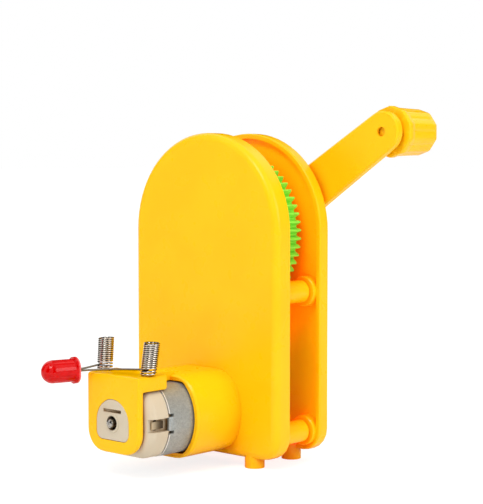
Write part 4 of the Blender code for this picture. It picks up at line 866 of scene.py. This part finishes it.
def spring_wire():
    """Bright wire with a painted highlight where it faces out of the coil and painted shade in the grooves
    between its curls.
    """
    wire = Finish("bright spring wire", constants={"Metallic": 1.0})
    outward = wire.node("ShaderNodeAttribute", {"attribute_name": "outward"}, {}, "Fac")
    marks = wire.noise(WIRE_MARKS, 2.0)
    # Painted highlight on the outer side of each curl, fading to painted shade towards the grooves.
    painted_highlight = wire.step(outward * outward + (marks - 0.5) * 0.2, 0.5, 1.0)
    wire.feed("Base Color", wire.mix(painted_highlight, SPRING_SHADE, SPRING_HIGHLIGHT))
    wire.feed("Roughness", wire.step(marks, 0.2, 0.8, 0.08, 0.16))
    return wire


bright_wire = spring_wire()
for name, side in (("left", -1), ("right", 1)):
    clip = add_piece(f"clip_{name}", coil_mesh(side), bright_wire, "stator", WIRE_SHARP_ANGLE)
    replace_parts(clip, f"spring_{name}")


# The light-emitting diode: a 5 mm lens cast in red epoxy, with a flange at its back that has one flat,
# and two tinned leads of square section, which run back into the open curls of the clips.

LENS_RADIUS = 2.45 * MM
LENS_LENGTH = 7.9 * MM
LENS_SIDES = 48
DOME_STEPS = 14
FLANGE_RADIUS = 2.85 * MM
FLANGE_THICKNESS = 0.9 * MM
FLANGE_FLAT = 0.35 * MM
FLANGE_ROUND = 0.12 * MM
FLANGE_ROUND_STEPS = 4
FLANGE_CHAMFER = 0.1 * MM
FLANGE_RIM = 0.45 * MM
RED = tint(210, 0, 0)
RED_DEEP = tint(196, 0, 0)
RED_LIT_RIM = tint(236, 110, 110)
RED_CLOUD = 3 * MM
RED_SKIN = 0.8 * MM
LEAD_RADIUS = 0.22 * MM
LEAD_SIDES = 4
LEAD_INSIDE = 3.2 * MM
LEAD_STEPS = 16
LEAD_LEAVES = 0.25
LEAD_ENTERS = 0.2
TINNED = tint(150, 140, 124)
TINNED_DARK = tint(110, 100, 86)
TINNED_ROUGHNESS = 0.3


def lens_mesh():
    """The lens made along -Y from its back, then turned to its place."""
    profile = [(0.0, 0.0)]
    for i in range(FLANGE_ROUND_STEPS + 1):
        angle = pi / 2 * i / FLANGE_ROUND_STEPS
        profile.append((FLANGE_RADIUS - FLANGE_ROUND * (1 - sin(angle)), -FLANGE_ROUND * (1 - cos(angle))))
    profile += [(FLANGE_RADIUS, -FLANGE_THICKNESS + FLANGE_CHAMFER),
                (FLANGE_RADIUS - FLANGE_CHAMFER, -FLANGE_THICKNESS),
                (LENS_RADIUS + FLANGE_ROUND, -FLANGE_THICKNESS),
                (LENS_RADIUS, -FLANGE_THICKNESS - FLANGE_ROUND)]
    dome = LENS_RADIUS - LENS_LENGTH
    for i in range(DOME_STEPS):
        angle = pi / 2 * i / DOME_STEPS
        profile.append((LENS_RADIUS * cos(angle), dome - LENS_RADIUS * sin(angle)))
    profile.append((0.0, -LENS_LENGTH))
    mesh = bmesh.new()
    verts = [mesh.verts.new((radius, y, 0)) for radius, y in profile]
    edges = [mesh.edges.new(pair) for pair in zip(verts, verts[1:])]
    bmesh.ops.spin(mesh, geom=verts + edges, cent=(0, 0, 0), axis=(0, 1, 0), angle=2 * pi, steps=LENS_SIDES,
                   use_duplicate=False)
    bmesh.ops.remove_doubles(mesh, verts=mesh.verts, dist=WELD_REACH)
    flat = FLANGE_RADIUS - FLANGE_FLAT
    for vert in mesh.verts:
        if vert.co.x > flat and vert.co.y > -FLANGE_THICKNESS - WELD_REACH:
            vert.co.x = flat
    bmesh.ops.transform(mesh, matrix=Matrix.Rotation(-LED_TURN, 4, "Z"), verts=mesh.verts)
    bmesh.ops.translate(mesh, vec=from_face(LED_BACK), verts=mesh.verts)
    return mesh


def red_epoxy():
    """Red epoxy with soft clouds in it, and a painted paler rim at the back of the flange for light through
    its thin edge.
    """
    epoxy = Finish("red epoxy", constants={"IOR": 1.53, "Specular IOR Level": 0.2})
    cloudy = epoxy.mix(epoxy.step(epoxy.noise(RED_CLOUD, 2.0), 0.35, 0.7), RED, RED_DEEP)
    from_back = epoxy.node("ShaderNodeVectorMath", {"operation": "SUBTRACT"},
                           {0: epoxy.place(), 1: from_face(LED_BACK)})
    along = epoxy.node("ShaderNodeVectorMath", {"operation": "DOT_PRODUCT"},
                       {0: from_back, 1: LED_ALONG}, "Value")
    # Painted light: a paler rim at the back of the flange.
    lit_rim = epoxy.step(along, -FLANGE_RIM, -FLANGE_RIM / 2)
    epoxy.feed("Base Color", epoxy.mix(lit_rim, cloudy, RED_LIT_RIM))
    epoxy.feed("Roughness", epoxy.step(epoxy.noise(RED_SKIN, 3.0), 0.3, 0.7, 0.05, 0.1))
    return epoxy


def lead_points(side):
    """A lead from inside the lens, straight out of its back, then on to the open curl of its clip."""
    inside = lead_at(side, -LEAD_INSIDE)
    bend = lead_at(side, LEAD_STRAIGHT)
    end = Vector((side * SPRING_X, SPRING_Y, clip_height(side)))
    reach = (end - bend).length
    leaving = bend + LED_ALONG * (reach * LEAD_LEAVES)
    entering = end - (end - leaving).normalized() * reach * LEAD_ENTERS
    entering.z = end.z
    guides = (bend, leaving, entering, end)
    points = [inside, inside.lerp(bend, 0.5), inside.lerp(bend, 0.9)]
    for i in range(LEAD_STEPS + 1):
        t = i / LEAD_STEPS
        shares = ((1 - t) ** 3, 3 * t * (1 - t) ** 2, 3 * t * t * (1 - t), t ** 3)
        points.append(sum((share * guide for share, guide in zip(shares, guides)), Vector()))
    return points


lens = add_piece("diode_lens", lens_mesh(), red_epoxy(), "stator")
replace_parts(lens, "led_lens")
tinned = ground_metal("tinned lead", TINNED, TINNED_DARK, TINNED_ROUGHNESS)
for name, side in (("left", -1), ("right", 1)):
    points = [from_face(point) for point in lead_points(side)]
    wire = tube(points, LEAD_RADIUS, LEAD_SIDES)
    lead = add_piece(f"diode_lead_{name}", wire, tinned, "stator")
    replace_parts(lead, f"led_leg_{name}")
